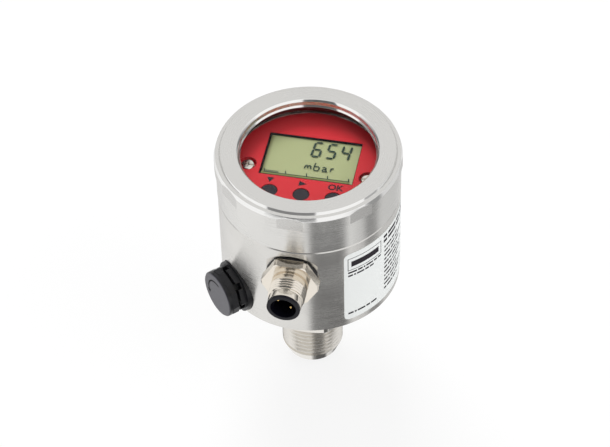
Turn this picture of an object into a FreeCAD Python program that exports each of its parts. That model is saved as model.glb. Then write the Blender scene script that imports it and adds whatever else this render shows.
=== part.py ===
"""Pressure transmitter with a digital display, written as one STEP file per piece.

The frame: +Z is up and runs along the housing's axis, the M12 connector faces -Y, and the origin is on the axis
where the process thread meets the collar. All lengths are millimetres and all angles degrees.
"""

import FreeCAD, Part
import math
import os

V = FreeCAD.Vector
ORIGIN = V(0, 0, 0)
UP = V(0, 0, 1)

# ---------------------------------------------------------------- driving dimensions
# Process connection, G 1/2 B with a locating spigot
THREAD_D = 20.955
THREAD_PITCH = 1.814
THREAD_DEPTH = 1.1
THREAD_CREST = 0.5
THREAD_GROOVES = 8
THREAD_START = 1.2
STEM_LENGTH = 20.0
STEM_END_D = 17.8
SPIGOT_D = 6.0
SPIGOT_LENGTH = 3.0
PORT_D = 3.0
COLLAR_ACROSS_FLATS = 27.0
COLLAR_HEIGHT = 14.0
COLLAR_CHAMFER = 1.0
NECK_D = 24.0
NECK_HEIGHT = 5.7
BOSS_D = 22.0
BOSS_RISE = 1.0
CHAMBER_D = 16.0
CHAMBER_DEPTH = 0.5
DIAPHRAGM_D = 19.0
DIAPHRAGM_THICKNESS = 0.2
DIAPHRAGM_SINK = 0.6

# Housing body
BODY_D = 60.0
BODY_HEIGHT = 37.9
BODY_WALL = 4.9
FLOOR_THICKNESS = 5.0
BODY_EDGE = 0.4
CAP_THREAD_WALL = 2.9
CAP_THREAD_LENGTH = 9.3
CAP_THREAD_PITCH = 1.5

# Cap
CAP_HEIGHT = 17.4
SEAM_GAP = 0.1
SKIRT_PROUD = 0.15
SKIRT_EDGE = 0.3
FLANGE_PROUD = 0.45
FLANGE_HEIGHT = 4.1
FLANGE_CHAMFER_HEIGHT = 1.45
FLANGE_CHAMFER_DEPTH = 0.5
STEP_WIDTH = 1.2
STEP_DEPTH = 0.95
STEP_CHAMFER = 0.4
FLAT_COUNT = 8
FLAT_WIDTH = 8.5
LIP_OVERLAP = 3.15
LIP_THICKNESS = 2.6
LIP_CHAMFER = 0.65
LIP_WALL_HEIGHT = 1.4
LIP_BEAD = 0.55

# Window
GLASS_THICKNESS = 2.0
GLASS_OVERLAP = 0.9
GASKET_THICKNESS = 0.2
GASKET_WIDTH = 2.4
RETAINER_HEIGHT = 2.3
RETAINER_WALL = 1.5
CAP_SEAL_SECTION = 1.0

# Display unit
COVER_SINK = 0.25
COVER_THICKNESS = 2.6
LCD_WIDTH = 31.0
LCD_HEIGHT = 19.15
LCD_CENTRE_Y = 3.98
LCD_SINK = 0.5
LCD_GLASS_THICKNESS = 1.5
LCD_CARRIER_MARGIN = 1.5
BUTTON_D = 5.4
BUTTON_PITCH = 10.5
BUTTON_BELOW_LCD = 6.905
BUTTON_SINK = 0.1
BUTTON_STROKE = 0.5
BUTTON_FLANGE_D = 6.8
BUTTON_FLANGE_HEIGHT = 0.8
BUTTON_STEM_D = 3.0
BUTTON_NAMES = ("down", "next", "ok")
SWITCH_SIDE = 4.5
SWITCH_HEIGHT = 2.4
COVER_SCREW_GAP = 0.65
COVER_SCREW_DROP = 5.78
COVER_SCREW_D = 2.5
COVER_SCREW_LENGTH = 6.0
SCREW_HEAD_D = 4.4
SCREW_HEAD_HEIGHT = 1.2
SCREW_HEAD_CROWN = 0.25
SCREW_SLOT_WIDTH = 0.65
SCREW_SLOT_DEPTH = 0.75
COUNTERBORE_D = 5.8
COUNTERBORE_DEPTH = 1.6
POST_D = 4.4
DISPLAY_BOARD_DROP = 5.5

# Electronics
BOARD_THICKNESS = 1.6
DISPLAY_BOARD_GAP = 1.6
MAIN_BOARD_GAP = 2.1
MAIN_BOARD_HEIGHT = 11.9
STANDOFF_D = 4.6
STANDOFF_INSET = 4.0
STANDOFF_ANGLES = (90.0, 210.0, 330.0)
STACKER_LENGTH = 16.0
STACKER_WIDTH = 3.0
STACKER_GAP = 2.2
CELL_D = 24.0
CELL_HEIGHT = 8.0
CELL_BOARD_D = 20.0
CELL_BOARD_GAP = 0.8
CELL_HEADER_SIDE = 6.0

# M12 connector, on the -Y side
CONNECTOR_HEIGHT = 25.6
CONNECTOR_FACE_REACH = 13.3
CONNECTOR_SPOT_D = 20.6
CONNECTOR_SPOT_DEPTH = 1.2
CONNECTOR_STEM_D = 14.0
CONNECTOR_HEX_FLATS = 17.0
CONNECTOR_HEX_ROUND_D = 19.0
CONNECTOR_HEX_FACE_D = 18.3
CONNECTOR_HEX_THICKNESS = 2.8
CONNECTOR_SEAL_D = 18.2
CONNECTOR_SEAL_THICKNESS = 1.4
CONNECTOR_NECK_D = 10.9
CONNECTOR_NECK_LENGTH = 0.7
M12_D = 12.0
M12_LENGTH = 5.9
M12_SHOULDER = 0.5
GROOVE_LENGTH = 0.4
NOSE_D = 11.2
NOSE_TIP_D = 10.9
NOSE_LENGTH = 2.3
INSERT_D = 10.5
INSERT_COLLAR_D = 10.9
INSERT_PROUD = 1.0
SOCKET_D = 8.4
SOCKET_DEPTH = 8.0
KEY_ANGLE = 190.0
KEY_WIDTH = 1.1
KEY_RISE = 0.6
PIN_D = 1.0
PIN_CIRCLE_D = 5.0
PIN_OFFSET_ANGLES = (-45.0, 135.0)
PIN_SINK = 2.0
PIN_TAIL = 2.0
INSERT_INNER_REACH = 1.2
LEAD_D = 1.2
LEAD_RUN = 3.2
LEAD_BEND = 2.5

# Vent plug, lower on the body and to the connector's left
VENT_AZIMUTH = -45.5
VENT_HEIGHT = 7.8
VENT_FLAT_DEPTH = 1.8
VENT_FLANGE_D = 18.0
VENT_FLANGE_LIFT = 0.3
VENT_FLANGE_THICKNESS = 2.2
VENT_RING_D = 16.4
VENT_RING_THICKNESS = 2.0
VENT_NOTCH_COUNT = 6
VENT_NOTCH_WIDTH = 2.2
VENT_NOTCH_DEPTH = 1.4
VENT_CORE_D = 11.0
VENT_GAP = 1.0
VENT_GRIP_D = 16.7
VENT_GRIP_THICKNESS = 2.1
VENT_GRIP_SIDES = 6
VENT_GRIP_TURN = 47.0
VENT_CORNER_SPAN = 22.0
VENT_FACE_D = 16.1
VENT_FACE_THICKNESS = 1.5
VENT_FACE_EDGE = 0.4
VENT_STEM_D = 7.0
VENT_BORE_D = 3.6
VENT_SEAL_SECTION = 0.8
VENT_MEMBRANE_D = 7.0
VENT_MEMBRANE_THICKNESS = 0.3

# Type label, on the body's right-hand side
LABEL_START = 33.0
LABEL_SPAN = 90.0
LABEL_HEIGHT = 31.5
LABEL_DROP = 3.6
LABEL_THICKNESS = 0.12
LABEL_CORNER = 2.0

# Clearances
THREAD_CLEARANCE = 0.05
RUNNING_CLEARANCE = 0.05
FITTING_CLEARANCE = 0.15
CAP_TOP_CLEARANCE = 0.4

# ---------------------------------------------------------------- derived sizes
THREAD_END = -THREAD_START - THREAD_PITCH * THREAD_GROOVES
COLLAR_TOP = COLLAR_HEIGHT
BODY_BOTTOM = COLLAR_TOP + NECK_HEIGHT
FLOOR_TOP = BODY_BOTTOM + FLOOR_THICKNESS
BODY_TOP = BODY_BOTTOM + BODY_HEIGHT
BODY_R = BODY_D / 2
CAVITY_R = BODY_R - BODY_WALL
CAP_THREAD_R = CAVITY_R + CAP_THREAD_WALL
CAP_THREAD_TOP = BODY_TOP + CAP_THREAD_LENGTH
BOSS_TOP = FLOOR_TOP + BOSS_RISE
DIAPHRAGM_SEAT = BOSS_TOP - DIAPHRAGM_SINK

CAP_BOTTOM = BODY_TOP + SEAM_GAP
CAP_TOP = BODY_TOP + CAP_HEIGHT
SKIRT_R = BODY_R + SKIRT_PROUD
FLANGE_R = SKIRT_R + FLANGE_PROUD
STEP_Z = CAP_TOP - STEP_DEPTH
FLANGE_TOP = STEP_Z - FLANGE_CHAMFER_HEIGHT
FLANGE_BOTTOM = FLANGE_TOP - FLANGE_HEIGHT
STEP_OUTER_R = FLANGE_R - FLANGE_CHAMFER_DEPTH
STEP_INNER_R = STEP_OUTER_R - STEP_WIDTH
TOP_FACE_R = STEP_INNER_R - STEP_CHAMFER
FLAT_DISTANCE = math.sqrt(FLANGE_R**2 - (FLAT_WIDTH / 2) ** 2)
LIP_BEAD_R = CAVITY_R - LIP_OVERLAP
LIP_WALL_R = LIP_BEAD_R + LIP_BEAD
LIP_TOP_R = LIP_WALL_R + LIP_CHAMFER
LIP_UNDERSIDE = CAP_TOP - LIP_THICKNESS
CAP_BORE_R = CAP_THREAD_R + THREAD_CLEARANCE
SEAL_RECESS_R = CAP_BORE_R + CAP_SEAL_SECTION + RUNNING_CLEARANCE
SEAL_RECESS_TOP = CAP_BOTTOM + CAP_SEAL_SECTION + RUNNING_CLEARANCE

GASKET_BOTTOM = LIP_UNDERSIDE - GASKET_THICKNESS
GLASS_R = CAVITY_R + GLASS_OVERLAP
GLASS_BOTTOM = GASKET_BOTTOM - GLASS_THICKNESS
RETAINER_R = CAVITY_R + RETAINER_WALL
RETAINER_BOTTOM = GLASS_BOTTOM - RETAINER_HEIGHT
GLASS_SEAT_R = RETAINER_R + RUNNING_CLEARANCE
CAP_BORE_TOP = CAP_THREAD_TOP + CAP_TOP_CLEARANCE

COVER_TOP = CAP_THREAD_TOP - COVER_SINK
COVER_BOTTOM = COVER_TOP - COVER_THICKNESS
COVER_R = CAVITY_R - FITTING_CLEARANCE
DISPLAY_BOARD_TOP = COVER_BOTTOM - DISPLAY_BOARD_DROP
DISPLAY_BOARD_BOTTOM = DISPLAY_BOARD_TOP - BOARD_THICKNESS
LCD_TOP = COVER_TOP - LCD_SINK
LCD_BOTTOM = LCD_TOP - LCD_GLASS_THICKNESS
BUTTON_TOP = COVER_TOP - BUTTON_SINK
BUTTON_FLANGE_BOTTOM = COVER_BOTTOM - BUTTON_FLANGE_HEIGHT
SWITCH_TOP = DISPLAY_BOARD_TOP + SWITCH_HEIGHT
BUTTON_BOTTOM = SWITCH_TOP + BUTTON_STROKE
COUNTERBORE_FLOOR = COVER_TOP - COUNTERBORE_DEPTH
LCD_CARRIER_WIDTH = LCD_WIDTH + 2 * LCD_CARRIER_MARGIN
BUTTON_Y = LCD_CENTRE_Y - LCD_HEIGHT / 2 - BUTTON_BELOW_LCD
COVER_SCREW_Y = LCD_CENTRE_Y - COVER_SCREW_DROP
COVER_SCREW_X = LCD_CARRIER_WIDTH / 2 + COVER_SCREW_GAP + POST_D / 2

MAIN_BOARD_R = CAVITY_R - MAIN_BOARD_GAP
DISPLAY_BOARD_R = CAVITY_R - DISPLAY_BOARD_GAP
STANDOFF_CIRCLE_R = MAIN_BOARD_R - STANDOFF_INSET
STACKER_Y = STANDOFF_CIRCLE_R - STANDOFF_D / 2 - STACKER_GAP - STACKER_WIDTH / 2
MAIN_BOARD_BOTTOM = FLOOR_TOP + MAIN_BOARD_HEIGHT
MAIN_BOARD_TOP = MAIN_BOARD_BOTTOM + BOARD_THICKNESS
CELL_BOTTOM = DIAPHRAGM_SEAT + DIAPHRAGM_THICKNESS
CELL_TOP = CELL_BOTTOM + CELL_HEIGHT
CELL_BOARD_BOTTOM = CELL_TOP + CELL_BOARD_GAP

CONNECTOR_Z = BODY_BOTTOM + CONNECTOR_HEIGHT
CONNECTOR_SPOT = BODY_R - CONNECTOR_SPOT_DEPTH
HEX_BACK = CONNECTOR_SPOT + CONNECTOR_SEAL_THICKNESS
HEX_FRONT = HEX_BACK + CONNECTOR_HEX_THICKNESS
M12_BACK = HEX_FRONT + CONNECTOR_NECK_LENGTH
M12_FRONT = M12_BACK + M12_LENGTH
NOSE_BACK = M12_FRONT + GROOVE_LENGTH
NOSE_FRONT = NOSE_BACK + NOSE_LENGTH
INSERT_FRONT = NOSE_FRONT + INSERT_PROUD
SOCKET_FLOOR = INSERT_FRONT - SOCKET_DEPTH
INSERT_BACK = CAVITY_R - INSERT_INNER_REACH
PIN_BACK = INSERT_BACK - PIN_TAIL
PIN_FRONT = INSERT_FRONT - PIN_SINK

VENT_Z = BODY_BOTTOM + VENT_HEIGHT
VENT_SEAT = BODY_R - VENT_FLAT_DEPTH
VENT_RING_BACK = VENT_SEAT + VENT_FLANGE_THICKNESS
VENT_RING_FRONT = VENT_RING_BACK + VENT_RING_THICKNESS
VENT_GRIP_BACK = VENT_RING_FRONT + VENT_GAP
VENT_FACE_BACK = VENT_GRIP_BACK + VENT_GRIP_THICKNESS
VENT_FRONT = VENT_FACE_BACK + VENT_FACE_THICKNESS
VENT_STEM_BACK = CAVITY_R - FITTING_CLEARANCE

LABEL_TOP = BODY_TOP - LABEL_DROP


# ---------------------------------------------------------------- shape helpers
def turned(outline):
    """Solid of revolution about Z from (radius, height) points."""
    points = [V(radius, 0, height) for radius, height in outline]
    face = Part.Face(Part.makePolygon(points + points[:1]))
    return face.revolve(ORIGIN, UP, 360)


def disc(radius, bottom, top, x=0.0, y=0.0):
    """Upright cylinder between two heights."""
    return Part.makeCylinder(radius, top - bottom, V(x, y, bottom))


def tube(outer, inner, bottom, top, x=0.0, y=0.0):
    """Upright tube between two heights."""
    return disc(outer, bottom, top, x, y).cut(disc(inner, bottom, top, x, y))


def block(width, depth, bottom, top, x=0.0, y=0.0):
    """Upright box centred on (x, y)."""
    return Part.makeBox(width, depth, top - bottom, V(x - width / 2, y - depth / 2, bottom))


def prism(sides, corner_radius, bottom, top, turn=0.0):
    """Regular prism about Z whose first corner points along `turn` degrees."""
    corners = []
    for i in range(sides):
        x, y = on_circle(corner_radius, turn + 360.0 * i / sides)
        corners.append(V(x, y, bottom))
    return Part.Face(Part.makePolygon(corners + corners[:1])).extrude(V(0, 0, top - bottom))


def on_wall(shape, azimuth, height):
    """Lays a shape made about Z on its side: +Z points outward at `azimuth` from -Y, and +Y points up."""
    turn = FreeCAD.Rotation(UP, azimuth) * FreeCAD.Rotation(V(1, 0, 0), 90)
    placed = shape.copy()
    placed.Placement = FreeCAD.Placement(V(0, 0, height), turn).multiply(shape.Placement)
    return placed


def on_connector(shape):
    """Lays a shape on the connector's axis."""
    return on_wall(shape, 0.0, CONNECTOR_Z)


def on_vent(shape):
    """Lays a shape on the vent plug's axis."""
    return on_wall(shape, VENT_AZIMUTH, VENT_Z)


def on_circle(radius, angle):
    """Point at `angle` on a circle about the origin."""
    return radius * math.cos(math.radians(angle)), radius * math.sin(math.radians(angle))


def standoff_places():
    """Centres of the three standoffs."""
    return [on_circle(STANDOFF_CIRCLE_R, angle) for angle in STANDOFF_ANGLES]


def button_places():
    """Centres of the three buttons, from left to right."""
    return [(BUTTON_PITCH * (i - 1), BUTTON_Y) for i in range(len(BUTTON_NAMES))]


def screw_places():
    """Centres of the two cover screws, from left to right."""
    return [(-COVER_SCREW_X, COVER_SCREW_Y), (COVER_SCREW_X, COVER_SCREW_Y)]


# ---------------------------------------------------------------- pressure side
def process_connection():
    """Grooved stem, hexagon collar, neck and the boss that is let into the body's floor."""
    thread_r = THREAD_D / 2
    end = -STEM_LENGTH
    profile = [(0, 0), (thread_r, 0)]
    for i in range(THREAD_GROOVES):
        top = -THREAD_START - THREAD_PITCH * i
        profile += [
            (thread_r, top),
            (thread_r - THREAD_DEPTH, top - (THREAD_PITCH - THREAD_CREST) / 2),
            (thread_r, top - THREAD_PITCH + THREAD_CREST),
        ]
    profile += [
        (thread_r, THREAD_END),
        (STEM_END_D / 2, end),
        (SPIGOT_D / 2, end),
        (SPIGOT_D / 2, end - SPIGOT_LENGTH),
        (0, end - SPIGOT_LENGTH),
    ]
    stem = turned(profile)
    corner_r = COLLAR_ACROSS_FLATS / math.sqrt(3)
    face_r = COLLAR_ACROSS_FLATS / 2
    chamfered = turned([
        (0, 0),
        (face_r, 0),
        (face_r + 2 * COLLAR_CHAMFER, COLLAR_CHAMFER),
        (face_r + 2 * COLLAR_CHAMFER, COLLAR_TOP - COLLAR_CHAMFER),
        (face_r, COLLAR_TOP),
        (0, COLLAR_TOP),
    ])
    collar = prism(6, corner_r, 0, COLLAR_TOP).common(chamfered)
    shape = stem.fuse(collar)
    shape = shape.fuse(disc(NECK_D / 2, COLLAR_TOP, BODY_BOTTOM))
    shape = shape.fuse(disc(BOSS_D / 2, BODY_BOTTOM, BOSS_TOP))
    shape = shape.cut(disc(DIAPHRAGM_D / 2, DIAPHRAGM_SEAT, BOSS_TOP))
    shape = shape.cut(disc(CHAMBER_D / 2, DIAPHRAGM_SEAT - CHAMBER_DEPTH, DIAPHRAGM_SEAT))
    shape = shape.cut(disc(PORT_D / 2, end - SPIGOT_LENGTH, DIAPHRAGM_SEAT - CHAMBER_DEPTH))
    return shape.removeSplitter()


def process_diaphragm():
    """Separating diaphragm over the pressure chamber."""
    return disc(DIAPHRAGM_D / 2, DIAPHRAGM_SEAT, CELL_BOTTOM)


def sensor_cell():
    """Oil-filled cell: a wide capsule with a foot that clamps the diaphragm."""
    foot = disc(DIAPHRAGM_D / 2, CELL_BOTTOM, BOSS_TOP)
    return foot.fuse(disc(CELL_D / 2, BOSS_TOP, CELL_TOP)).removeSplitter()


def sensor_board():
    """Small round board on a header above the cell."""
    board = disc(CELL_BOARD_D / 2, CELL_BOARD_BOTTOM, CELL_BOARD_BOTTOM + BOARD_THICKNESS)
    header = block(CELL_HEADER_SIDE, CELL_HEADER_SIDE, CELL_TOP, CELL_BOARD_BOTTOM)
    return board.fuse(header).removeSplitter()


# ---------------------------------------------------------------- housing
def housing_body():
    """Turned cup with the cap's external thread, the wall holes and their spot faces."""
    shape = turned([
        (0, BODY_BOTTOM),
        (BODY_R - BODY_EDGE, BODY_BOTTOM),
        (BODY_R, BODY_BOTTOM + BODY_EDGE),
        (BODY_R, BODY_TOP - BODY_EDGE),
        (BODY_R - BODY_EDGE, BODY_TOP),
        (CAP_THREAD_R, BODY_TOP),
        (CAP_THREAD_R, CAP_THREAD_TOP),
        (CAVITY_R, CAP_THREAD_TOP),
        (CAVITY_R, FLOOR_TOP),
        (0, FLOOR_TOP),
    ])
    shape = shape.cut(disc(BOSS_D / 2, BODY_BOTTOM, FLOOR_TOP))
    outside = BODY_R + 1
    shape = shape.cut(on_connector(disc(CONNECTOR_SPOT_D / 2, CONNECTOR_SPOT, outside)))
    shape = shape.cut(on_connector(disc(CONNECTOR_STEM_D / 2, INSERT_BACK, outside)))
    shape = shape.cut(on_vent(disc(VENT_FLANGE_D / 2 + FITTING_CLEARANCE, VENT_SEAT, outside)))
    shape = shape.cut(on_vent(disc(VENT_STEM_D / 2, VENT_STEM_BACK, outside)))
    return shape.removeSplitter()


def type_label():
    """Thin plate bent round the body, with rounded corners."""
    outline = [
        V(BODY_R, 0, LABEL_TOP - LABEL_HEIGHT),
        V(BODY_R + LABEL_THICKNESS, 0, LABEL_TOP - LABEL_HEIGHT),
        V(BODY_R + LABEL_THICKNESS, 0, LABEL_TOP),
        V(BODY_R, 0, LABEL_TOP),
    ]
    sheet = Part.Face(Part.makePolygon(outline + outline[:1])).revolve(ORIGIN, UP, LABEL_SPAN)
    corners = [edge for edge in sheet.Edges if edge.Length < 2 * LABEL_THICKNESS]
    sheet = sheet.makeFillet(LABEL_CORNER, corners)
    sheet.rotate(ORIGIN, UP, LABEL_START - 90.0)
    return sheet


# ---------------------------------------------------------------- cap
def cap_ring():
    """Screw cap: skirt with internal thread, stepped flange with wrench flats and the window's lip."""
    shape = turned([
        (LIP_TOP_R, CAP_TOP),
        (TOP_FACE_R, CAP_TOP),
        (STEP_INNER_R, STEP_Z),
        (STEP_OUTER_R, STEP_Z),
        (FLANGE_R, FLANGE_TOP),
        (FLANGE_R, FLANGE_BOTTOM),
        (SKIRT_R, FLANGE_BOTTOM),
        (SKIRT_R, CAP_BOTTOM + SKIRT_EDGE),
        (SKIRT_R - SKIRT_EDGE, CAP_BOTTOM),
        (SEAL_RECESS_R, CAP_BOTTOM),
        (SEAL_RECESS_R, SEAL_RECESS_TOP),
        (CAP_BORE_R, SEAL_RECESS_TOP),
        (CAP_BORE_R, CAP_BORE_TOP),
        (GLASS_SEAT_R, CAP_BORE_TOP),
        (GLASS_SEAT_R, LIP_UNDERSIDE),
        (LIP_BEAD_R, LIP_UNDERSIDE),
        (LIP_WALL_R, LIP_UNDERSIDE + LIP_BEAD),
        (LIP_WALL_R, LIP_UNDERSIDE + LIP_BEAD + LIP_WALL_HEIGHT),
    ])
    keep = disc(FLANGE_R + 1, CAP_BOTTOM - 1, CAP_TOP + 1)
    waste_depth = FLANGE_R - FLAT_DISTANCE + 1
    for i in range(FLAT_COUNT):
        waste = Part.makeBox(
            2 * FLAT_WIDTH, waste_depth, CAP_TOP - FLANGE_BOTTOM + 1,
            V(-FLAT_WIDTH, -FLAT_DISTANCE - waste_depth, FLANGE_BOTTOM),
        )
        waste.rotate(ORIGIN, UP, 360.0 * i / FLAT_COUNT)
        keep = keep.cut(waste)
    return shape.common(keep).removeSplitter()


def cap_seal():
    """O-ring at the foot of the cap's thread."""
    radius = CAP_BORE_R + CAP_SEAL_SECTION / 2
    return Part.makeTorus(radius, CAP_SEAL_SECTION / 2, V(0, 0, CAP_BOTTOM + CAP_SEAL_SECTION / 2))


def window_gasket():
    """Flat ring between the lip and the glass."""
    return tube(GLASS_R, GLASS_R - GASKET_WIDTH, GASKET_BOTTOM, LIP_UNDERSIDE)


def window_glass():
    """Round window."""
    return disc(GLASS_R, GLASS_BOTTOM, GASKET_BOTTOM)


def glass_retainer():
    """Screwed ring that holds the glass from inside the cap."""
    return tube(RETAINER_R, CAVITY_R, RETAINER_BOTTOM, GLASS_BOTTOM)


# ---------------------------------------------------------------- display unit
def display_cover():
    """Moulded cover plate with the display's window, button holes and screw wells."""
    shape = disc(COVER_R, COVER_BOTTOM, COVER_TOP)
    shape = shape.cut(block(LCD_WIDTH, LCD_HEIGHT, COVER_BOTTOM, COVER_TOP, 0, LCD_CENTRE_Y))
    for x, y in button_places():
        shape = shape.cut(disc(BUTTON_D / 2 + RUNNING_CLEARANCE, COVER_BOTTOM, COVER_TOP, x, y))
    for x, y in screw_places():
        shape = shape.cut(disc(COUNTERBORE_D / 2, COUNTERBORE_FLOOR, COVER_TOP, x, y))
        shape = shape.cut(disc(COVER_SCREW_D / 2 + FITTING_CLEARANCE, COVER_BOTTOM, COVER_TOP, x, y))
    return shape.removeSplitter()


def cover_screw(x, y):
    """Pan-head screw with a combined slot and cross recess."""
    head_r = SCREW_HEAD_D / 2
    head_top = COUNTERBORE_FLOOR + SCREW_HEAD_HEIGHT
    shape = turned([
        (0, COUNTERBORE_FLOOR - COVER_SCREW_LENGTH),
        (COVER_SCREW_D / 2, COUNTERBORE_FLOOR - COVER_SCREW_LENGTH),
        (COVER_SCREW_D / 2, COUNTERBORE_FLOOR),
        (head_r, COUNTERBORE_FLOOR),
        (head_r, head_top - SCREW_HEAD_CROWN),
        (head_r - SCREW_HEAD_CROWN, head_top),
        (0, head_top),
    ])
    slot_bottom = head_top - SCREW_SLOT_DEPTH
    shape = shape.cut(block(SCREW_HEAD_D, SCREW_SLOT_WIDTH, slot_bottom, head_top))
    shape = shape.cut(block(SCREW_SLOT_WIDTH, SCREW_HEAD_D / 2, slot_bottom, head_top))
    shape.translate(V(x, y, 0))
    return shape


def cover_post(x, y):
    """Threaded pillar under a cover screw."""
    shape = disc(POST_D / 2, DISPLAY_BOARD_TOP, COVER_BOTTOM, x, y)
    screw_end = COUNTERBORE_FLOOR - COVER_SCREW_LENGTH
    return shape.cut(disc(COVER_SCREW_D / 2, screw_end, COVER_BOTTOM, x, y))


def lcd_carrier():
    """Frame that lifts the display glass to the cover's window."""
    height = LCD_HEIGHT + 2 * LCD_CARRIER_MARGIN
    return block(LCD_CARRIER_WIDTH, height, DISPLAY_BOARD_TOP, COVER_BOTTOM, 0, LCD_CENTRE_Y)


def lcd_layer(bottom, top):
    """One layer of the display stack, inside the cover's window."""
    width = LCD_WIDTH - 2 * FITTING_CLEARANCE
    height = LCD_HEIGHT - 2 * FITTING_CLEARANCE
    return block(width, height, bottom, top, 0, LCD_CENTRE_Y)


def push_button(x, y):
    """Button with the flange that stops it under the cover, and its stem."""
    return turned([
        (0, BUTTON_BOTTOM),
        (BUTTON_STEM_D / 2, BUTTON_BOTTOM),
        (BUTTON_STEM_D / 2, BUTTON_FLANGE_BOTTOM),
        (BUTTON_FLANGE_D / 2, BUTTON_FLANGE_BOTTOM),
        (BUTTON_FLANGE_D / 2, COVER_BOTTOM),
        (BUTTON_D / 2, COVER_BOTTOM),
        (BUTTON_D / 2, BUTTON_TOP),
        (0, BUTTON_TOP),
    ]).translated(V(x, y, 0))


def key_switch(x, y):
    """Tactile switch under a button."""
    return block(SWITCH_SIDE, SWITCH_SIDE, DISPLAY_BOARD_TOP, SWITCH_TOP, x, y)


def display_board():
    """Round board that carries the display and the switches."""
    return disc(DISPLAY_BOARD_R, DISPLAY_BOARD_BOTTOM, DISPLAY_BOARD_TOP)


# ---------------------------------------------------------------- electronics
def main_board():
    """Round board of the transmitter's electronics."""
    return disc(MAIN_BOARD_R, MAIN_BOARD_BOTTOM, MAIN_BOARD_TOP)


def board_stacker():
    """Board-to-board connector."""
    return block(STACKER_LENGTH, STACKER_WIDTH, MAIN_BOARD_TOP, DISPLAY_BOARD_BOTTOM, 0, STACKER_Y)


# ---------------------------------------------------------------- connector
def connector_shell():
    """Nickel-plated shell: stem in the wall, hexagon, neck, M12 thread and nose."""
    m12_r = M12_D / 2
    neck_r = CONNECTOR_NECK_D / 2
    stem_r = CONNECTOR_STEM_D / 2
    shell = turned([
        (INSERT_D / 2, INSERT_BACK),
        (stem_r, INSERT_BACK),
        (stem_r, HEX_BACK),
        (neck_r, HEX_BACK),
        (neck_r, M12_BACK - M12_SHOULDER),
        (m12_r, M12_BACK),
        (m12_r, M12_FRONT),
        (neck_r, M12_FRONT),
        (neck_r, NOSE_BACK),
        (NOSE_D / 2, NOSE_BACK),
        (NOSE_TIP_D / 2, NOSE_FRONT),
        (INSERT_D / 2, NOSE_FRONT),
    ])
    face_r = CONNECTOR_HEX_FACE_D / 2
    round_r = CONNECTOR_HEX_ROUND_D / 2
    chamfered = turned([
        (neck_r, HEX_BACK),
        (round_r, HEX_BACK),
        (round_r, HEX_FRONT - (round_r - face_r)),
        (face_r, HEX_FRONT),
        (neck_r, HEX_FRONT),
    ])
    hexagon = prism(6, CONNECTOR_HEX_FLATS / math.sqrt(3), HEX_BACK, HEX_FRONT).common(chamfered)
    return on_connector(shell.fuse(hexagon).removeSplitter())


def connector_seal():
    """O-ring between the hexagon and the body, shown flattened as when tightened."""
    outer = CONNECTOR_SEAL_D / 2
    bulge = CONNECTOR_SEAL_THICKNESS / 4
    return on_connector(turned([
        (CONNECTOR_STEM_D / 2, CONNECTOR_SPOT),
        (outer - bulge, CONNECTOR_SPOT),
        (outer, CONNECTOR_SPOT + bulge),
        (outer, HEX_BACK - bulge),
        (outer - bulge, HEX_BACK),
        (CONNECTOR_STEM_D / 2, HEX_BACK),
    ]))


def pin_angles():
    """Angles of the two contact pins, set by the key as in the A coding."""
    return [KEY_ANGLE + offset for offset in PIN_OFFSET_ANGLES]


def pin_place(angle):
    """Centre of a pin on the pin circle."""
    return on_circle(PIN_CIRCLE_D / 2, angle)


def connector_insert():
    """Moulded insert with the socket, its coding key and the pin bores."""
    shape = disc(INSERT_D / 2, INSERT_BACK, NOSE_FRONT).fuse(disc(INSERT_COLLAR_D / 2, NOSE_FRONT, INSERT_FRONT))
    shape = shape.cut(disc(SOCKET_D / 2, SOCKET_FLOOR, INSERT_FRONT))
    key = Part.makeBox(
        2 * KEY_RISE, KEY_WIDTH, SOCKET_DEPTH - PIN_SINK,
        V(SOCKET_D / 2 - KEY_RISE, -KEY_WIDTH / 2, SOCKET_FLOOR),
    )
    key.rotate(ORIGIN, UP, KEY_ANGLE)
    shape = shape.fuse(key)
    for angle in pin_angles():
        x, y = pin_place(angle)
        shape = shape.cut(disc(PIN_D / 2, INSERT_BACK, SOCKET_FLOOR, x, y))
    return on_connector(shape.removeSplitter())


def contact_pin(angle):
    """Gold-plated pin with a rounded tip."""
    x, y = pin_place(angle)
    tip = PIN_D / 4
    return on_connector(turned([
        (0, PIN_BACK),
        (PIN_D / 2, PIN_BACK),
        (PIN_D / 2, PIN_FRONT - tip),
        (PIN_D / 2 - tip, PIN_FRONT),
        (0, PIN_FRONT),
    ]).translated(V(x, y, 0)))


def signal_lead(angle):
    """Lead from a pin's tail, bent down to the main board."""
    x, drop = pin_place(angle)
    height = CONNECTOR_Z + drop
    start_y = -PIN_BACK
    bend_y = start_y + LEAD_RUN
    middle = LEAD_BEND * math.sqrt(0.5)
    run = Part.LineSegment(V(x, start_y, height), V(x, bend_y, height))
    bend = Part.Arc(
        V(x, bend_y, height),
        V(x, bend_y + middle, height - LEAD_BEND + middle),
        V(x, bend_y + LEAD_BEND, height - LEAD_BEND),
    )
    drop_line = Part.LineSegment(V(x, bend_y + LEAD_BEND, height - LEAD_BEND), V(x, bend_y + LEAD_BEND, MAIN_BOARD_TOP))
    path = Part.Wire([run.toShape(), bend.toShape(), drop_line.toShape()])
    section = Part.Wire(Part.makeCircle(LEAD_D / 2, V(x, start_y, height), V(0, 1, 0)))
    return path.makePipeShell([section], True, True)


# ---------------------------------------------------------------- vent plug
def faceted(diameter, bottom, top):
    """Prism of wide sides with a narrow side cut across each corner, all corners on one circle."""
    corner_r = diameter / 2
    corners = []
    for i in range(VENT_GRIP_SIDES):
        middle = VENT_GRIP_TURN + 360.0 * i / VENT_GRIP_SIDES
        for side in (-0.5, 0.5):
            x, y = on_circle(corner_r, middle + side * VENT_CORNER_SPAN)
            corners.append(V(x, y, bottom))
    return Part.Face(Part.makePolygon(corners + corners[:1])).extrude(V(0, 0, top - bottom))


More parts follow.
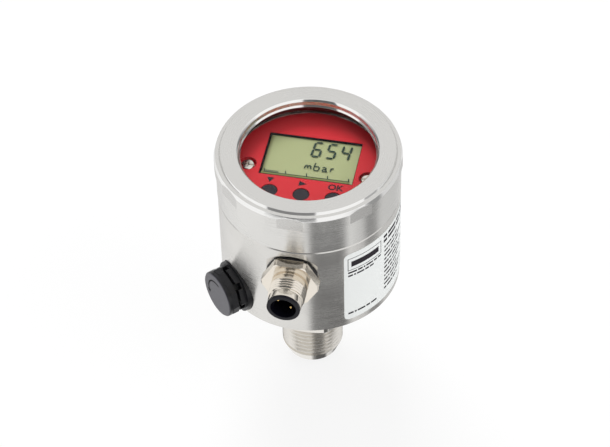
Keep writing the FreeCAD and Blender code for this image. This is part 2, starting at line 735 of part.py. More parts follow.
def vent_body():
    """Base of the vent plug: stem through the wall, round flange and castellated ring."""
    ring_r = VENT_RING_D / 2
    shape = turned([
        (VENT_BORE_D / 2, VENT_STEM_BACK),
        (VENT_STEM_D / 2, VENT_STEM_BACK),
        (VENT_STEM_D / 2, VENT_SEAT),
        (VENT_FLANGE_D / 2, VENT_SEAT),
        (VENT_FLANGE_D / 2, VENT_RING_BACK),
        (ring_r, VENT_RING_BACK),
        (ring_r, VENT_RING_FRONT),
        (VENT_BORE_D / 2, VENT_RING_FRONT),
    ])
    facets = faceted(VENT_RING_D, VENT_RING_BACK, VENT_RING_FRONT)
    shape = shape.common(disc(VENT_FLANGE_D / 2, VENT_STEM_BACK, VENT_RING_BACK).fuse(facets))
    waste_top = BODY_BOTTOM + VENT_FLANGE_LIFT - VENT_Z
    shape = shape.cut(Part.makeBox(
        VENT_FLANGE_D, VENT_FLANGE_D, VENT_FLANGE_THICKNESS,
        V(-VENT_FLANGE_D / 2, waste_top - VENT_FLANGE_D, VENT_SEAT),
    ))
    for i in range(VENT_NOTCH_COUNT):
        notch = Part.makeBox(
            ring_r, VENT_NOTCH_WIDTH, VENT_NOTCH_DEPTH,
            V(VENT_CORE_D / 2, -VENT_NOTCH_WIDTH / 2, VENT_RING_FRONT - VENT_NOTCH_DEPTH),
        )
        notch.rotate(ORIGIN, UP, VENT_GRIP_TURN + 360.0 * i / VENT_NOTCH_COUNT)
        shape = shape.cut(notch)
    groove = vent_seal_ring()
    shape = shape.cut(groove)
    shape = shape.cut(disc(VENT_MEMBRANE_D / 2, VENT_RING_FRONT - VENT_MEMBRANE_THICKNESS, VENT_RING_FRONT))
    return on_vent(shape.removeSplitter())


def vent_seal_ring():
    """The flat seal's shape, before it is laid on the vent's axis."""
    inner = VENT_STEM_D / 2
    return tube(inner + 2 * VENT_SEAL_SECTION, inner, VENT_SEAT, VENT_SEAT + VENT_SEAL_SECTION)


def vent_seal():
    """Flat seal let into the flange's underside."""
    return on_vent(vent_seal_ring())


def vent_membrane():
    """Breathable membrane over the vent's bore."""
    return on_vent(disc(VENT_MEMBRANE_D / 2, VENT_RING_FRONT - VENT_MEMBRANE_THICKNESS, VENT_RING_FRONT))


def vent_cap():
    """Splash cap: core, faceted grip ring and the round face."""
    face_r = VENT_FACE_D / 2
    shape = turned([
        (0, VENT_RING_FRONT),
        (VENT_CORE_D / 2, VENT_RING_FRONT),
        (VENT_CORE_D / 2, VENT_FACE_BACK),
        (face_r, VENT_FACE_BACK),
        (face_r, VENT_FRONT - VENT_FACE_EDGE),
        (face_r - VENT_FACE_EDGE, VENT_FRONT),
        (0, VENT_FRONT),
    ])
    grip = faceted(VENT_GRIP_D, VENT_GRIP_BACK, VENT_FACE_BACK)
    return on_vent(shape.fuse(grip).removeSplitter())


# ---------------------------------------------------------------- all pieces
def all_pieces():
    """Every piece of the transmitter by name."""
    pieces = {
        "housing_body": housing_body(),
        "process_connection": process_connection(),
        "process_diaphragm": process_diaphragm(),
        "sensor_cell": sensor_cell(),
        "sensor_board": sensor_board(),
        "main_board": main_board(),
        "display_board": display_board(),
        "board_stacker": board_stacker(),
        "display_cover": display_cover(),
        "lcd_carrier": lcd_carrier(),
        "lcd_reflector": lcd_layer(COVER_BOTTOM, LCD_BOTTOM),
        "lcd_glass": lcd_layer(LCD_BOTTOM, LCD_TOP),
        "cap_ring": cap_ring(),
        "cap_seal": cap_seal(),
        "window_gasket": window_gasket(),
        "window_glass": window_glass(),
        "glass_retainer": glass_retainer(),
        "connector_shell": connector_shell(),
        "connector_insert": connector_insert(),
        "connector_seal": connector_seal(),
        "vent_body": vent_body(),
        "vent_cap": vent_cap(),
        "vent_seal": vent_seal(),
        "vent_membrane": vent_membrane(),
        "type_label": type_label(),
    }
    for number, (x, y) in enumerate(standoff_places(), start=1):
        pieces[f"lower_standoff_{number}"] = disc(STANDOFF_D / 2, FLOOR_TOP, MAIN_BOARD_BOTTOM, x, y)
        pieces[f"upper_standoff_{number}"] = disc(STANDOFF_D / 2, MAIN_BOARD_TOP, DISPLAY_BOARD_BOTTOM, x, y)
    for name, (x, y) in zip(BUTTON_NAMES, button_places()):
        pieces[f"button_{name}"] = push_button(x, y)
        pieces[f"switch_{name}"] = key_switch(x, y)
    for side, (x, y) in zip(("left", "right"), screw_places()):
        pieces[f"cover_screw_{side}"] = cover_screw(x, y)
        pieces[f"cover_post_{side}"] = cover_post(x, y)
    for number, angle in enumerate(pin_angles(), start=1):
        pieces[f"contact_pin_{number}"] = contact_pin(angle)
        pieces[f"signal_lead_{number}"] = signal_lead(angle)
    return pieces


def main():
    os.makedirs("parts", exist_ok=True)
    for name, shape in all_pieces().items():
        box = shape.BoundBox
        print(
            f"{name:20s} solids {len(shape.Solids)} valid {shape.isValid()} volume {shape.Volume:10.2f}"
            f" x {box.XMin:7.2f} {box.XMax:7.2f} y {box.YMin:7.2f} {box.YMax:7.2f} z {box.ZMin:7.2f} {box.ZMax:7.2f}"
        )
        shape.exportStep(f"parts/{name}.step")


main()
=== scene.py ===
"""Looks of a round steel pressure transmitter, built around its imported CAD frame.

Sizes in the classes are millimetres and degrees. Meshes are written in metres, in the frame's own axes:
+Z up along the housing, the plug inlet facing -Y. Azimuths are counted from -Y towards +X.
"""

import logging
import math
from collections.abc import Callable, Iterable, Sequence
from dataclasses import dataclass, field
from enum import Enum

import bmesh
import bpy
from mathutils import Matrix, Vector


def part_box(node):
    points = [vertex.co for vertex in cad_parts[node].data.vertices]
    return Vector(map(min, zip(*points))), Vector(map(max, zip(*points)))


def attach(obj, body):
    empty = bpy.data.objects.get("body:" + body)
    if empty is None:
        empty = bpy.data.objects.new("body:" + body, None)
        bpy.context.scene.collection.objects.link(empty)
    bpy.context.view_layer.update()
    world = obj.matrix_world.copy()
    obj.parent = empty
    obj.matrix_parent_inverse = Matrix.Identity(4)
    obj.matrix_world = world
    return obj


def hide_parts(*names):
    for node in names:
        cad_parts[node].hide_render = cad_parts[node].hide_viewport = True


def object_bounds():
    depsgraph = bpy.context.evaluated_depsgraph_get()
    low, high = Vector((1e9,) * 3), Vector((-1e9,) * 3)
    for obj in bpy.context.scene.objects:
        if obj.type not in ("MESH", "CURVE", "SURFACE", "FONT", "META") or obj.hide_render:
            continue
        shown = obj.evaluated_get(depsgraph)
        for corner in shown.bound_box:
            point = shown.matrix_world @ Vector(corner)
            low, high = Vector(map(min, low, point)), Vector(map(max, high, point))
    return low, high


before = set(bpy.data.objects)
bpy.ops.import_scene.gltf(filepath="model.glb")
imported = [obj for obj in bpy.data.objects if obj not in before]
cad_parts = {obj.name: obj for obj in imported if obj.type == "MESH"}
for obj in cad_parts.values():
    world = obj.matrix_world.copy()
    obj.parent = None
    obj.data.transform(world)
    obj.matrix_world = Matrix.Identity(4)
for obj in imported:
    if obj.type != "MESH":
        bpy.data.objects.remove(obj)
CAD_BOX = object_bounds()

MM = 0.001
FULL_TURN = 2.0 * math.pi
NEAR_AXIS = 0.001
Point = tuple[float, float]
Colour = tuple[float, float, float]
WHITE: Colour = (1.0, 1.0, 1.0)
log = logging.getLogger("transmitter")


class Body(Enum):
    """CAD bodies that the pieces ride on."""

    HOUSING = "housing"
    CAP = "cap"
    BUTTON_DOWN = "button_down"
    BUTTON_NEXT = "button_next"
    BUTTON_OK = "button_ok"


class Axis(Enum):
    """Axis that a turned surface runs round."""

    X = "X"
    Y = "Y"
    Z = "Z"


# ------------------------------------------------------------------ geometry
@dataclass(frozen=True)
class NodeBox:
    """Lowest and highest corner of a CAD node, in millimetres."""

    low: Vector
    high: Vector

    @classmethod
    def of(cls, node: str) -> "NodeBox":
        """Box of the named CAD node at rest."""
        low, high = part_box(node)
        return cls(low / MM, high / MM)

    @property
    def centre(self) -> Vector:
        """Middle of the box."""
        return (self.low + self.high) / 2

    @property
    def size(self) -> Vector:
        """Length of the box along each axis."""
        return self.high - self.low


@dataclass
class Draft:
    """Mesh in the making: points in millimetres, faces, and each face's finish number."""

    points: list[Vector] = field(default_factory=list)
    faces: list[tuple[int, ...]] = field(default_factory=list)
    finishes: list[int] = field(default_factory=list)

    def add(
        self, points: Iterable[Sequence[float]], faces: Iterable[Sequence[int]], finish: int = 0
    ) -> "Draft":
        """Appends points and the faces between them.

        Args:
            points: new points.
            faces: faces as indices into the new points.
            finish: finish number of the new faces.

        Returns:
            The draft itself.
        """
        start = len(self.points)
        self.points.extend(Vector(point) for point in points)
        for face in faces:
            self.faces.append(tuple(start + index for index in face))
            self.finishes.append(finish)
        return self

    def join(self, other: "Draft") -> "Draft":
        """Appends another draft and returns this one.

        Args:
            other: the draft to append.

        Returns:
            The draft itself.
        """
        start = len(self.points)
        self.points.extend(other.points)
        self.faces.extend(tuple(start + index for index in face) for face in other.faces)
        self.finishes.extend(other.finishes)
        return self

    def moved(self, matrix: Matrix) -> "Draft":
        """Copy of the draft with every point carried by a matrix."""
        return Draft([matrix @ point for point in self.points], list(self.faces), list(self.finishes))

    def bmesh(self) -> bmesh.types.BMesh:
        """The draft as a cleaned bmesh, still in millimetres.

        Returns:
            The bmesh, without doubled points or empty faces.
        """
        mesh = bmesh.new()
        corners = [mesh.verts.new(point) for point in self.points]
        for face, finish in zip(self.faces, self.finishes):
            if len(set(face)) < 3:
                continue
            made = mesh.faces.new([corners[index] for index in face])
            made.material_index = finish
        bmesh.ops.remove_doubles(mesh, verts=mesh.verts, dist=1e-5)
        bmesh.ops.dissolve_degenerate(mesh, edges=mesh.edges, dist=1e-5)
        return mesh


def arc_points(centre: Point, radius: float, start: float, end: float, steps: int) -> list[Point]:
    """Points along a circular arc.

    Args:
        centre: arc centre.
        radius: arc radius.
        start: first angle in degrees.
        end: last angle in degrees.
        steps: number of chords.

    Returns:
        steps + 1 points from start to end.
    """
    angles = [math.radians(start + (end - start) * i / steps) for i in range(steps + 1)]
    return [(centre[0] + radius * math.cos(a), centre[1] + radius * math.sin(a)) for a in angles]


def rounded(outline: Sequence[tuple[float, ...]], steps: int = 4, closed: bool = True) -> list[Point]:
    """Replaces the corners of an outline by arcs.

    Args:
        outline: corners as (x, y) or (x, y, rounding radius).
        steps: chords in each arc.
        closed: whether the last corner joins the first.

    Returns:
        Points of the rounded outline.
    """
    result: list[Point] = []
    count = len(outline)
    for i, corner in enumerate(outline):
        here = Vector(corner[:2])
        radius = corner[2] if len(corner) > 2 else 0.0
        inner = closed or 0 < i < count - 1
        if radius <= 0 or not inner:
            result.append(tuple(here))
            continue
        to_last = (Vector(outline[i - 1][:2]) - here).normalized()
        to_next = (Vector(outline[(i + 1) % count][:2]) - here).normalized()
        half = to_last.angle(to_next) / 2
        reach = radius / math.tan(half)
        start, end = here + to_last * reach, here + to_next * reach
        centre = here + (to_last + to_next).normalized() * (radius / math.sin(half))
        from_angle = math.atan2(start.y - centre.y, start.x - centre.x)
        to_angle = math.atan2(end.y - centre.y, end.x - centre.x)
        sweep = (to_angle - from_angle + math.pi) % FULL_TURN - math.pi
        first = math.degrees(from_angle)
        result.extend(arc_points(tuple(centre), radius, first, first + math.degrees(sweep), steps))
    return result


def revolve(
    outline: Sequence[Point], segments: int = 192, finishes: Sequence[int] | None = None, closed: bool = True
) -> Draft:
    """Turns an outline of (radius, height) points about Z.

    Args:
        outline: the points.
        segments: columns round the axis.
        finishes: finish number of each outline run, or None for all 0.
        closed: whether the last point joins the first.

    Returns:
        The turned surface.
    """
    draft = Draft()
    count = len(outline)
    for column in range(segments):
        angle = FULL_TURN * column / segments
        for radius, height in outline:
            draft.points.append(Vector((radius * math.cos(angle), radius * math.sin(angle), height)))
    runs = count if closed else count - 1
    for column in range(segments):
        near, far = column * count, (column + 1) % segments * count
        for run in range(runs):
            after = (run + 1) % count
            draft.faces.append((near + run, far + run, far + after, near + after))
            draft.finishes.append(finishes[run] if finishes else 0)
    return draft


def plane_cut(mesh: bmesh.types.BMesh, point: Vector, normal: Vector, finish: int = 0) -> None:
    """Cuts away what lies beyond a plane and closes the cut with one flat face.

    Args:
        mesh: mesh to cut.
        point: a point on the plane.
        normal: direction of the part that goes.
        finish: finish number of the new face.
    """
    everything = list(mesh.verts) + list(mesh.edges) + list(mesh.faces)
    cut = bmesh.ops.bisect_plane(
        mesh, geom=everything, dist=1e-6, plane_co=point, plane_no=normal, clear_outer=True
    )
    edges = [item for item in cut["geom_cut"] if isinstance(item, bmesh.types.BMEdge)]
    filled = bmesh.ops.edgenet_fill(mesh, edges=edges)
    for face in filled["faces"]:
        face.material_index = finish


def flats(mesh: bmesh.types.BMesh, count: int, distance: float, turn: float = 0.0, finish: int = 0) -> None:
    """Cuts equally spaced flats about Z.

    Args:
        mesh: mesh to cut.
        count: number of flats.
        distance: distance of each flat from the axis.
        turn: azimuth of the first flat, from -Y.
        finish: finish number of the flats.
    """
    for i in range(count):
        normal = wall_direction(turn + 360.0 * i / count)
        plane_cut(mesh, normal * distance, normal, finish)


@dataclass(frozen=True)
class ScrewThread:
    """External V thread about Z, as one ribbon that climbs with the pitch.

    Attributes:
        major: radius over the crests.
        minor: radius at the roots.
        pitch: climb of one turn.
        start: lower end.
        end: upper end.
        start_radius: radius that the thread runs out to at its lower end.
        end_radius: radius that the thread runs out to at its upper end.
        segments: columns in one turn.
    """

    major: float
    minor: float
    pitch: float
    start: float
    end: float
    start_radius: float
    end_radius: float
    segments: int = 128

    # Rows of one pitch as (share of the pitch, share of the depth)
    FORM = (
        (0.00, 0.93), (0.03, 1.0), (0.13, 1.0), (0.16, 0.93),
        (0.44, 0.08), (0.50, 0.0), (0.64, 0.0), (0.70, 0.08),
    )

    def draft(self) -> Draft:
        """The thread's surface, open at both ends.

        Returns:
            The ribbon as four-sided faces.
        """
        rows = len(self.FORM)
        turns = math.ceil((self.end - self.start) / self.pitch) + 2
        draft = Draft()
        columns = turns * self.segments
        for column in range(columns + self.segments + 1):
            angle = FULL_TURN * column / self.segments
            base = self.start - self.pitch + self.pitch * column / self.segments
            for share, depth in self.FORM:
                height = min(max(base + share * self.pitch, self.start), self.end)
                radius = self.minor + (self.major - self.minor) * depth
                from_start, from_end = height - self.start, self.end - height
                radius = min(radius, self.start_radius + from_start, self.end_radius + from_end)
                draft.points.append(Vector((radius * math.cos(angle), radius * math.sin(angle), height)))
        for column in range(columns):
            for row in range(rows):
                here, beside = column * rows + row, (column + 1) * rows + row
                if row == rows - 1:
                    above = (column + self.segments) * rows
                    draft.faces.append((here, beside, above + rows, above))
                else:
                    draft.faces.append((here, beside, beside + 1, here + 1))
                draft.finishes.append(0)
        return draft


def wall_direction(azimuth: float) -> Vector:
    """Level unit vector away from the housing's axis, at an azimuth from -Y."""
    angle = math.radians(azimuth)
    return Vector((math.sin(angle), -math.cos(angle), 0.0))


def on_wall(azimuth: float, height: float) -> Matrix:
    """Lays a shape made about Z on the wall: +Z points outward at an azimuth from -Y, and +Y points up."""
    upright = Matrix.Rotation(math.radians(azimuth), 4, "Z") @ Matrix.Rotation(math.pi / 2, 4, "X")
    return Matrix.Translation((0.0, 0.0, height)) @ upright


def flat_polygon(outline: Sequence[Point], height: float) -> Draft:
    """One flat face from an outline, at a height."""
    return Draft().add([(x, y, height) for x, y in outline], [range(len(outline))])


def stroke(points: Sequence[Point], width: float, height: float) -> Draft:
    """A flat line of constant width through points.

    Args:
        points: the line's middle.
        width: line width.
        height: height of the flat faces.

    Returns:
        Four-sided faces, mitred at the line's bends.
    """
    sides: list[tuple[Vector, Vector]] = []
    last = len(points) - 1
    for i, point in enumerate(points):
        here = Vector(point)
        before = (here - Vector(points[i - 1])).normalized() if i > 0 else None
        after = (Vector(points[i + 1]) - here).normalized() if i < last else None
        along = ((before or after) + (after or before)).normalized()
        across = Vector((-along.y, along.x))
        reach = width / 2
        if before is not None and after is not None:
            reach /= max(0.4, across.dot(Vector((-after.y, after.x))))
        sides.append((here + across * reach, here - across * reach))
    draft = Draft()
    for (left, right), (next_left, next_right) in zip(sides, sides[1:]):
        corners = [(*right, height), (*next_right, height), (*next_left, height), (*left, height)]
        draft.add(corners, [(0, 1, 2, 3)])
    return draft


def make_object(
    name: str, mesh: bmesh.types.BMesh, materials: Sequence[bpy.types.Material], outward: bool = True
) -> bpy.types.Object:
    """Turns a bmesh in millimetres into an object in metres.

    Args:
        name: object name.
        mesh: the bmesh, which is freed.
        materials: one material for each finish number.
        outward: whether face normals are made to point outward.

    Returns:
        The linked object, smooth shaded.
    """
    if outward:
        bmesh.ops.recalc_face_normals(mesh, faces=mesh.faces)
    bmesh.ops.scale(mesh, vec=(MM, MM, MM), verts=mesh.verts)
    data = bpy.data.meshes.new(name)
    mesh.to_mesh(data)
    mesh.free()
    for material in materials:
        data.materials.append(material)
    data.shade_smooth()
    made = bpy.data.objects.new(name, data)
    bpy.context.scene.collection.objects.link(made)
    return made


def soften(piece: bpy.types.Object, width: float, angle: float = 20.0, segments: int = 2) -> bpy.types.Object:
    """Rounds the piece's sharp edges and keeps its broad faces flat.

    Args:
        piece: the object.
        width: width of the rounding in millimetres.
        angle: smallest edge angle that is rounded, in degrees.
        segments: faces across the rounding.

    Returns:
        The same object.
    """
    bevel = piece.modifiers.new("Soft edges", "BEVEL")
    bevel.width = width * MM
    bevel.segments = segments
    bevel.limit_method = "ANGLE"
    bevel.angle_limit = math.radians(angle)
    bevel.use_clamp_overlap = True
    bevel.miter_outer = "MITER_ARC"
    flat = piece.modifiers.new("Broad faces stay flat", "WEIGHTED_NORMAL")
    flat.weight = 80
    return piece


# ------------------------------------------------------------------ shader nodes
class NodeBoard:
    """Places and wires the nodes of one shader tree."""

    def __init__(self, tree: bpy.types.NodeTree) -> None:
        """Empties the tree and keeps it."""
        self.tree = tree
        tree.nodes.clear()

    def put(self, kind: str, inputs: dict[str, object] | None = None, **settings: object) -> bpy.types.Node:
        """Adds a node.

        Args:
            kind: node type name.
            inputs: sockets by name, with a socket to wire or a value to set.
            settings: attributes of the node.

        Returns:
            The node.
        """
        node = self.tree.nodes.new(kind)
        for key, value in settings.items():
            setattr(node, key, value)
        for key, value in (inputs or {}).items():
            self.feed(node.inputs[key], value)
        return node

    def feed(self, socket: bpy.types.NodeSocket, value: object) -> None:
        """Wires a socket into another, or sets its value.

        Args:
            socket: input socket.
            value: output socket to wire in, or the value to set.
        """
        if isinstance(value, bpy.types.NodeSocket):
            self.tree.links.new(value, socket)
        elif isinstance(value, tuple) and len(value) == 3 and socket.type == "RGBA":
            socket.default_value = (*value, 1.0)
        else:
            socket.default_value = value

    def math(self, operation: str, *values: object, clamp: bool = False) -> bpy.types.NodeSocket:
        """Math node on one to three sockets or numbers.

        Args:
            operation: Math operation name.
            values: sockets or numbers.
            clamp: whether the result is kept between 0 and 1.

        Returns:
            The result.
        """
        node = self.tree.nodes.new("ShaderNodeMath")
        node.operation = operation
        node.use_clamp = clamp
        for socket, value in zip(node.inputs, values):
            self.feed(socket, value)
        return node.outputs[0]

    def length(self, first: bpy.types.NodeSocket, second: bpy.types.NodeSocket) -> bpy.types.NodeSocket:
        """Length of a vector from its two parts."""
        squares = [self.math("MULTIPLY", part, part) for part in (first, second)]
        return self.math("SQRT", self.math("ADD", *squares))

    def ramp(
        self, value: object, low: float, high: float, to_low: float = 0.0, to_high: float = 1.0
    ) -> bpy.types.NodeSocket:
        """Smooth step of a value from one range to another."""
        inputs = {"Value": value, "From Min": low, "From Max": high, "To Min": to_low, "To Max": to_high}
        return self.put("ShaderNodeMapRange", inputs, interpolation_type="SMOOTHSTEP").outputs["Result"]

    def band(self, value: object, start: float, end: float, soft: float) -> bpy.types.NodeSocket:
        """1 between start and end and 0 outside, with soft borders.

        Args:
            value: value to test.
            start: middle of the first border.
            end: middle of the last border.
            soft: half width of the borders.

        Returns:
            The band.
        """
        rise = self.ramp(value, start - soft, start + soft)
        fall = self.ramp(value, end - soft, end + soft, 1.0, 0.0)
        return self.math("MULTIPLY", rise, fall)

    def blend(self, share: object, first: object, second: object) -> bpy.types.NodeSocket:
        """Mix of two colours by a share.

        Args:
            share: share of the second colour.
            first: first colour.
            second: second colour.

        Returns:
            The mixed colour.
        """
        node = self.put("ShaderNodeMix", data_type="RGBA")
        self.feed(node.inputs[0], share)
        self.feed(node.inputs[6], first)
        self.feed(node.inputs[7], second)
        return node.outputs[2]

    def object_place(self) -> bpy.types.NodeSocket:
        """Object coordinates, in metres."""
        return self.put("ShaderNodeTexCoord").outputs["Object"]

    def parts(self, place: bpy.types.NodeSocket) -> dict[str, bpy.types.NodeSocket]:
        """X, Y and Z of a place."""
        outputs = self.put("ShaderNodeSeparateXYZ", {"Vector": place}).outputs
        return {axis.value: outputs[axis.value] for axis in Axis}

    def noise(
        self, place: bpy.types.NodeSocket, scale: float, detail: float = 3.0, rough: float = 0.5
    ) -> bpy.types.NodeSocket:
        """Noise value at a place."""
        inputs = {"Vector": place, "Scale": scale, "Detail": detail, "Roughness": rough}
        return self.put("ShaderNodeTexNoise", inputs).outputs["Fac"]

    def relief(
        self, height: bpy.types.NodeSocket, strength: float, distance: float, edge: float = 0.0
    ) -> bpy.types.NodeSocket:
        """Normal of an uneven surface.

        Args:
            height: height of the unevenness, 0 to 1.
            strength: strength of the unevenness.
            distance: its depth in millimetres.
            edge: radius of the rounded edges in millimetres.

        Returns:
            The normal.
        """
        inputs: dict[str, object] = {"Height": height, "Strength": strength, "Distance": distance * MM}
        if edge:
            inputs["Normal"] = self.put("ShaderNodeBevel", {"Radius": edge * MM}, samples=4).outputs[0]
        return self.put("ShaderNodeBump", inputs).outputs[0]

    def surface(self, colour: object, roughness: object, **inputs: object) -> bpy.types.NodeSocket:
        """Principled shader. Further sockets are given by name, with _ for a space.

        Args:
            colour: base colour.
            roughness: roughness.
            inputs: further sockets.

        Returns:
            The shader.
        """
        sockets = {"Base Color": colour, "Roughness": roughness}
        sockets.update({name.replace("_", " "): value for name, value in inputs.items()})
        return self.put("ShaderNodeBsdfPrincipled", sockets).outputs[0]

    def glow(self, strength: object) -> bpy.types.NodeSocket:
        """White emission."""
        return self.put("ShaderNodeEmission", {"Color": WHITE, "Strength": strength}).outputs[0]

    def mix(
        self, share: object, first: bpy.types.NodeSocket, second: bpy.types.NodeSocket
    ) -> bpy.types.NodeSocket:
        """Mix of two shaders by a share."""
        return self.put("ShaderNodeMixShader", {0: share, 1: first, 2: second}).outputs[0]


def toned(colour: Colour, share: float) -> Colour:
    """A colour made darker or lighter by a share."""
    return tuple(min(1.0, channel * share) for channel in colour)


@dataclass(frozen=True)
class Finish:
    """A finish that makes one material.

    Attributes:
        name: material name.
        colour: base colour, linear.
        roughness: mean roughness.
    """

    name: str
    colour: Colour
    roughness: float

    def material(self) -> bpy.types.Material:
        """The finish's material, made on first use and named apart from the frame's own.

        Returns:
            The material.
        """
        name = f"finish_{self.name}"
        known = bpy.data.materials.get(name)
        if known is not None:
            return known
        made = bpy.data.materials.new(name)
        made.use_nodes = True
        board = NodeBoard(made.node_tree)
        board.put("ShaderNodeOutputMaterial", {"Surface": self.shade(board)})
        made.diffuse_color = (*self.colour, 1.0)
        return made

    def shade(self, board: NodeBoard) -> bpy.types.NodeSocket:
        """Builds the shader and returns its output socket."""
        raise NotImplementedError


@dataclass(frozen=True)
class TurnedMetal(Finish):
    """Metal with fine tool marks round an axis.

    Attributes:
        axis: axis that the marks run round.
        mark_pitch: spacing of the marks in millimetres.
        mark_depth: strength of the marks.
        stretch: how far highlights stretch across the marks, 0 to 1.
        edge: radius of the rounded edges in millimetres.
        waver: spread of the roughness.
    """

    axis: Axis = Axis.Z
    mark_pitch: float = 0.12
    mark_depth: float = 0.08
    stretch: float = 0.6
    edge: float = 0.0
    waver: float = 0.08

    MARKS_PER_RADIAN = 2.0
    CLOUD_SCALE = 90.0
    DARKEST = 0.86
    # Share of a full turn from the marks to the way that highlights stretch
    ACROSS_MARKS = 0.25

    def shade(self, board: NodeBoard) -> bpy.types.NodeSocket:
        """Metal whose marks, roughness and tone run round the axis.

        Args:
            board: board of the material's shader tree.

        Returns:
            The shader.
        """
        place = board.object_place()
        parts = board.parts(place)
        across = [parts[axis.value] for axis in Axis if axis is not self.axis]
        radius = board.length(*across)
        turn = board.math("ARCTAN2", *across)
        per_metre = 1.0 / (self.mark_pitch * MM)
        cell = board.put("ShaderNodeCombineXYZ", {
            "X": board.math("MULTIPLY", parts[self.axis.value], per_metre),
            "Y": board.math("MULTIPLY", radius, per_metre),
            "Z": board.math("MULTIPLY", turn, self.MARKS_PER_RADIAN),
        }).outputs[0]
        marks = board.noise(cell, 1.0, 2.0, 0.6)
        clouds = board.noise(place, self.CLOUD_SCALE)
        tone = board.math("ADD", board.math("MULTIPLY", marks, 0.5), board.math("MULTIPLY", clouds, 0.5))
        return board.surface(
            board.blend(tone, toned(self.colour, self.DARKEST), self.colour),
            board.ramp(tone, 0.25, 0.75, self.roughness - self.waver, self.roughness + self.waver),
            Metallic=1.0,
            Anisotropic=self.stretch,
            Anisotropic_Rotation=self.ACROSS_MARKS,
            Normal=board.relief(marks, self.mark_depth, self.mark_pitch, self.edge),
            Tangent=board.put("ShaderNodeTangent", direction_type="RADIAL", axis=self.axis.value).outputs[0],
        )


@dataclass(frozen=True)
class Moulded(Finish):
    """Moulded plastic or rubber with a fine grain.

    Attributes:
        grain: size of the grain in millimetres.
        grain_depth: strength of the grain.
        shade_spread: how much the tone varies.
        edge: radius of the rounded edges in millimetres.
        gloss: specular level.
    """

    grain: float = 0.25
    grain_depth: float = 0.15
    shade_spread: float = 0.12
    edge: float = 0.12
    gloss: float = 0.5

    CLOUD_SCALE = 60.0
    WAVER = 0.05

    def shade(self, board: NodeBoard) -> bpy.types.NodeSocket:
        """Plastic with grain, small changes of tone and soft edges.

        Args:
            board: board of the material's shader tree.

        Returns:
            The shader.
        """
        place = board.object_place()
        grain = board.noise(place, 1.0 / (self.grain * MM), 4.0, 0.6)
        clouds = board.noise(place, self.CLOUD_SCALE)
        dark = toned(self.colour, 1.0 - self.shade_spread)
        light = toned(self.colour, 1.0 + self.shade_spread)
        return board.surface(
            self.tone(board, place, board.blend(clouds, dark, light)),
            board.ramp(grain, 0.3, 0.7, self.roughness - self.WAVER, self.roughness + self.WAVER),
            Specular_IOR_Level=self.gloss,
            Normal=board.relief(grain, self.grain_depth, self.grain, self.edge),
        )

    def tone(
        self, board: NodeBoard, place: bpy.types.NodeSocket, colour: bpy.types.NodeSocket
    ) -> bpy.types.NodeSocket:
        """Colour at a place. Plain plastic has its own everywhere."""
        return colour


@dataclass(frozen=True)
class FacedPlastic(Moulded):
    """Moulded plastic whose outer face, square to an axis on the housing's wall, is matt and greyer.

    Attributes:
        azimuth: azimuth of the axis, from -Y.
        face_reach: distance of the face from the housing's axis, in millimetres.
        face_colour: colour of the face, linear.
    """

    azimuth: float = -45.5
    face_reach: float = 36.85
    face_colour: Colour = (0.062, 0.060, 0.075)

    FACE_EDGE = 0.1

    def tone(
        self, board: NodeBoard, place: bpy.types.NodeSocket, colour: bpy.types.NodeSocket
    ) -> bpy.types.NodeSocket:
        """Greyer colour beyond the face's distance along the axis.

        Args:
            board: board of the material's shader tree.
            place: object coordinates.
            colour: the plain colour.

        Returns:
            The colour at the place.
        """
        inputs = {0: place, 1: wall_direction(self.azimuth)}
        reach = board.put("ShaderNodeVectorMath", inputs, operation="DOT_PRODUCT").outputs["Value"]
        face = board.ramp(reach, (self.face_reach - self.FACE_EDGE) * MM, self.face_reach * MM)
        return board.blend(face, colour, self.face_colour)


@dataclass(frozen=True)
class Pane(Finish):
    """Clear sheet that shows what lies behind it unbent, with a faint sheen.

    Attributes:
        sheen: share of light that the sheet mirrors head on.
    """

    sheen: float = 0.04

    WIPE_SCALE = 140.0
    HAZE = 0.05
    SLANT_BLEND = 0.12
    SLANT_SHEEN = 0.5

    def shade(self, board: NodeBoard) -> bpy.types.NodeSocket:
        """Tinted see-through sheet with a Fresnel sheen, hazed by faint wipe marks.

        Args:
            board: board of the material's shader tree.

        Returns:
            The shader.
        """
        wipes = board.noise(board.object_place(), self.WIPE_SCALE, 4.0)
        rough = board.ramp(wipes, 0.3, 0.8, self.roughness, self.roughness + self.HAZE)
        clear = board.put("ShaderNodeBsdfTransparent", {"Color": self.colour}).outputs[0]
        mirror = board.put("ShaderNodeBsdfGlossy", {"Roughness": rough}).outputs[0]
        slant = board.put("ShaderNodeLayerWeight", {"Blend": self.SLANT_BLEND}).outputs["Fresnel"]
        share = board.math("MULTIPLY_ADD", slant, self.SLANT_SHEEN, self.sheen, clamp=True)
        return board.mix(share, clear, mirror)


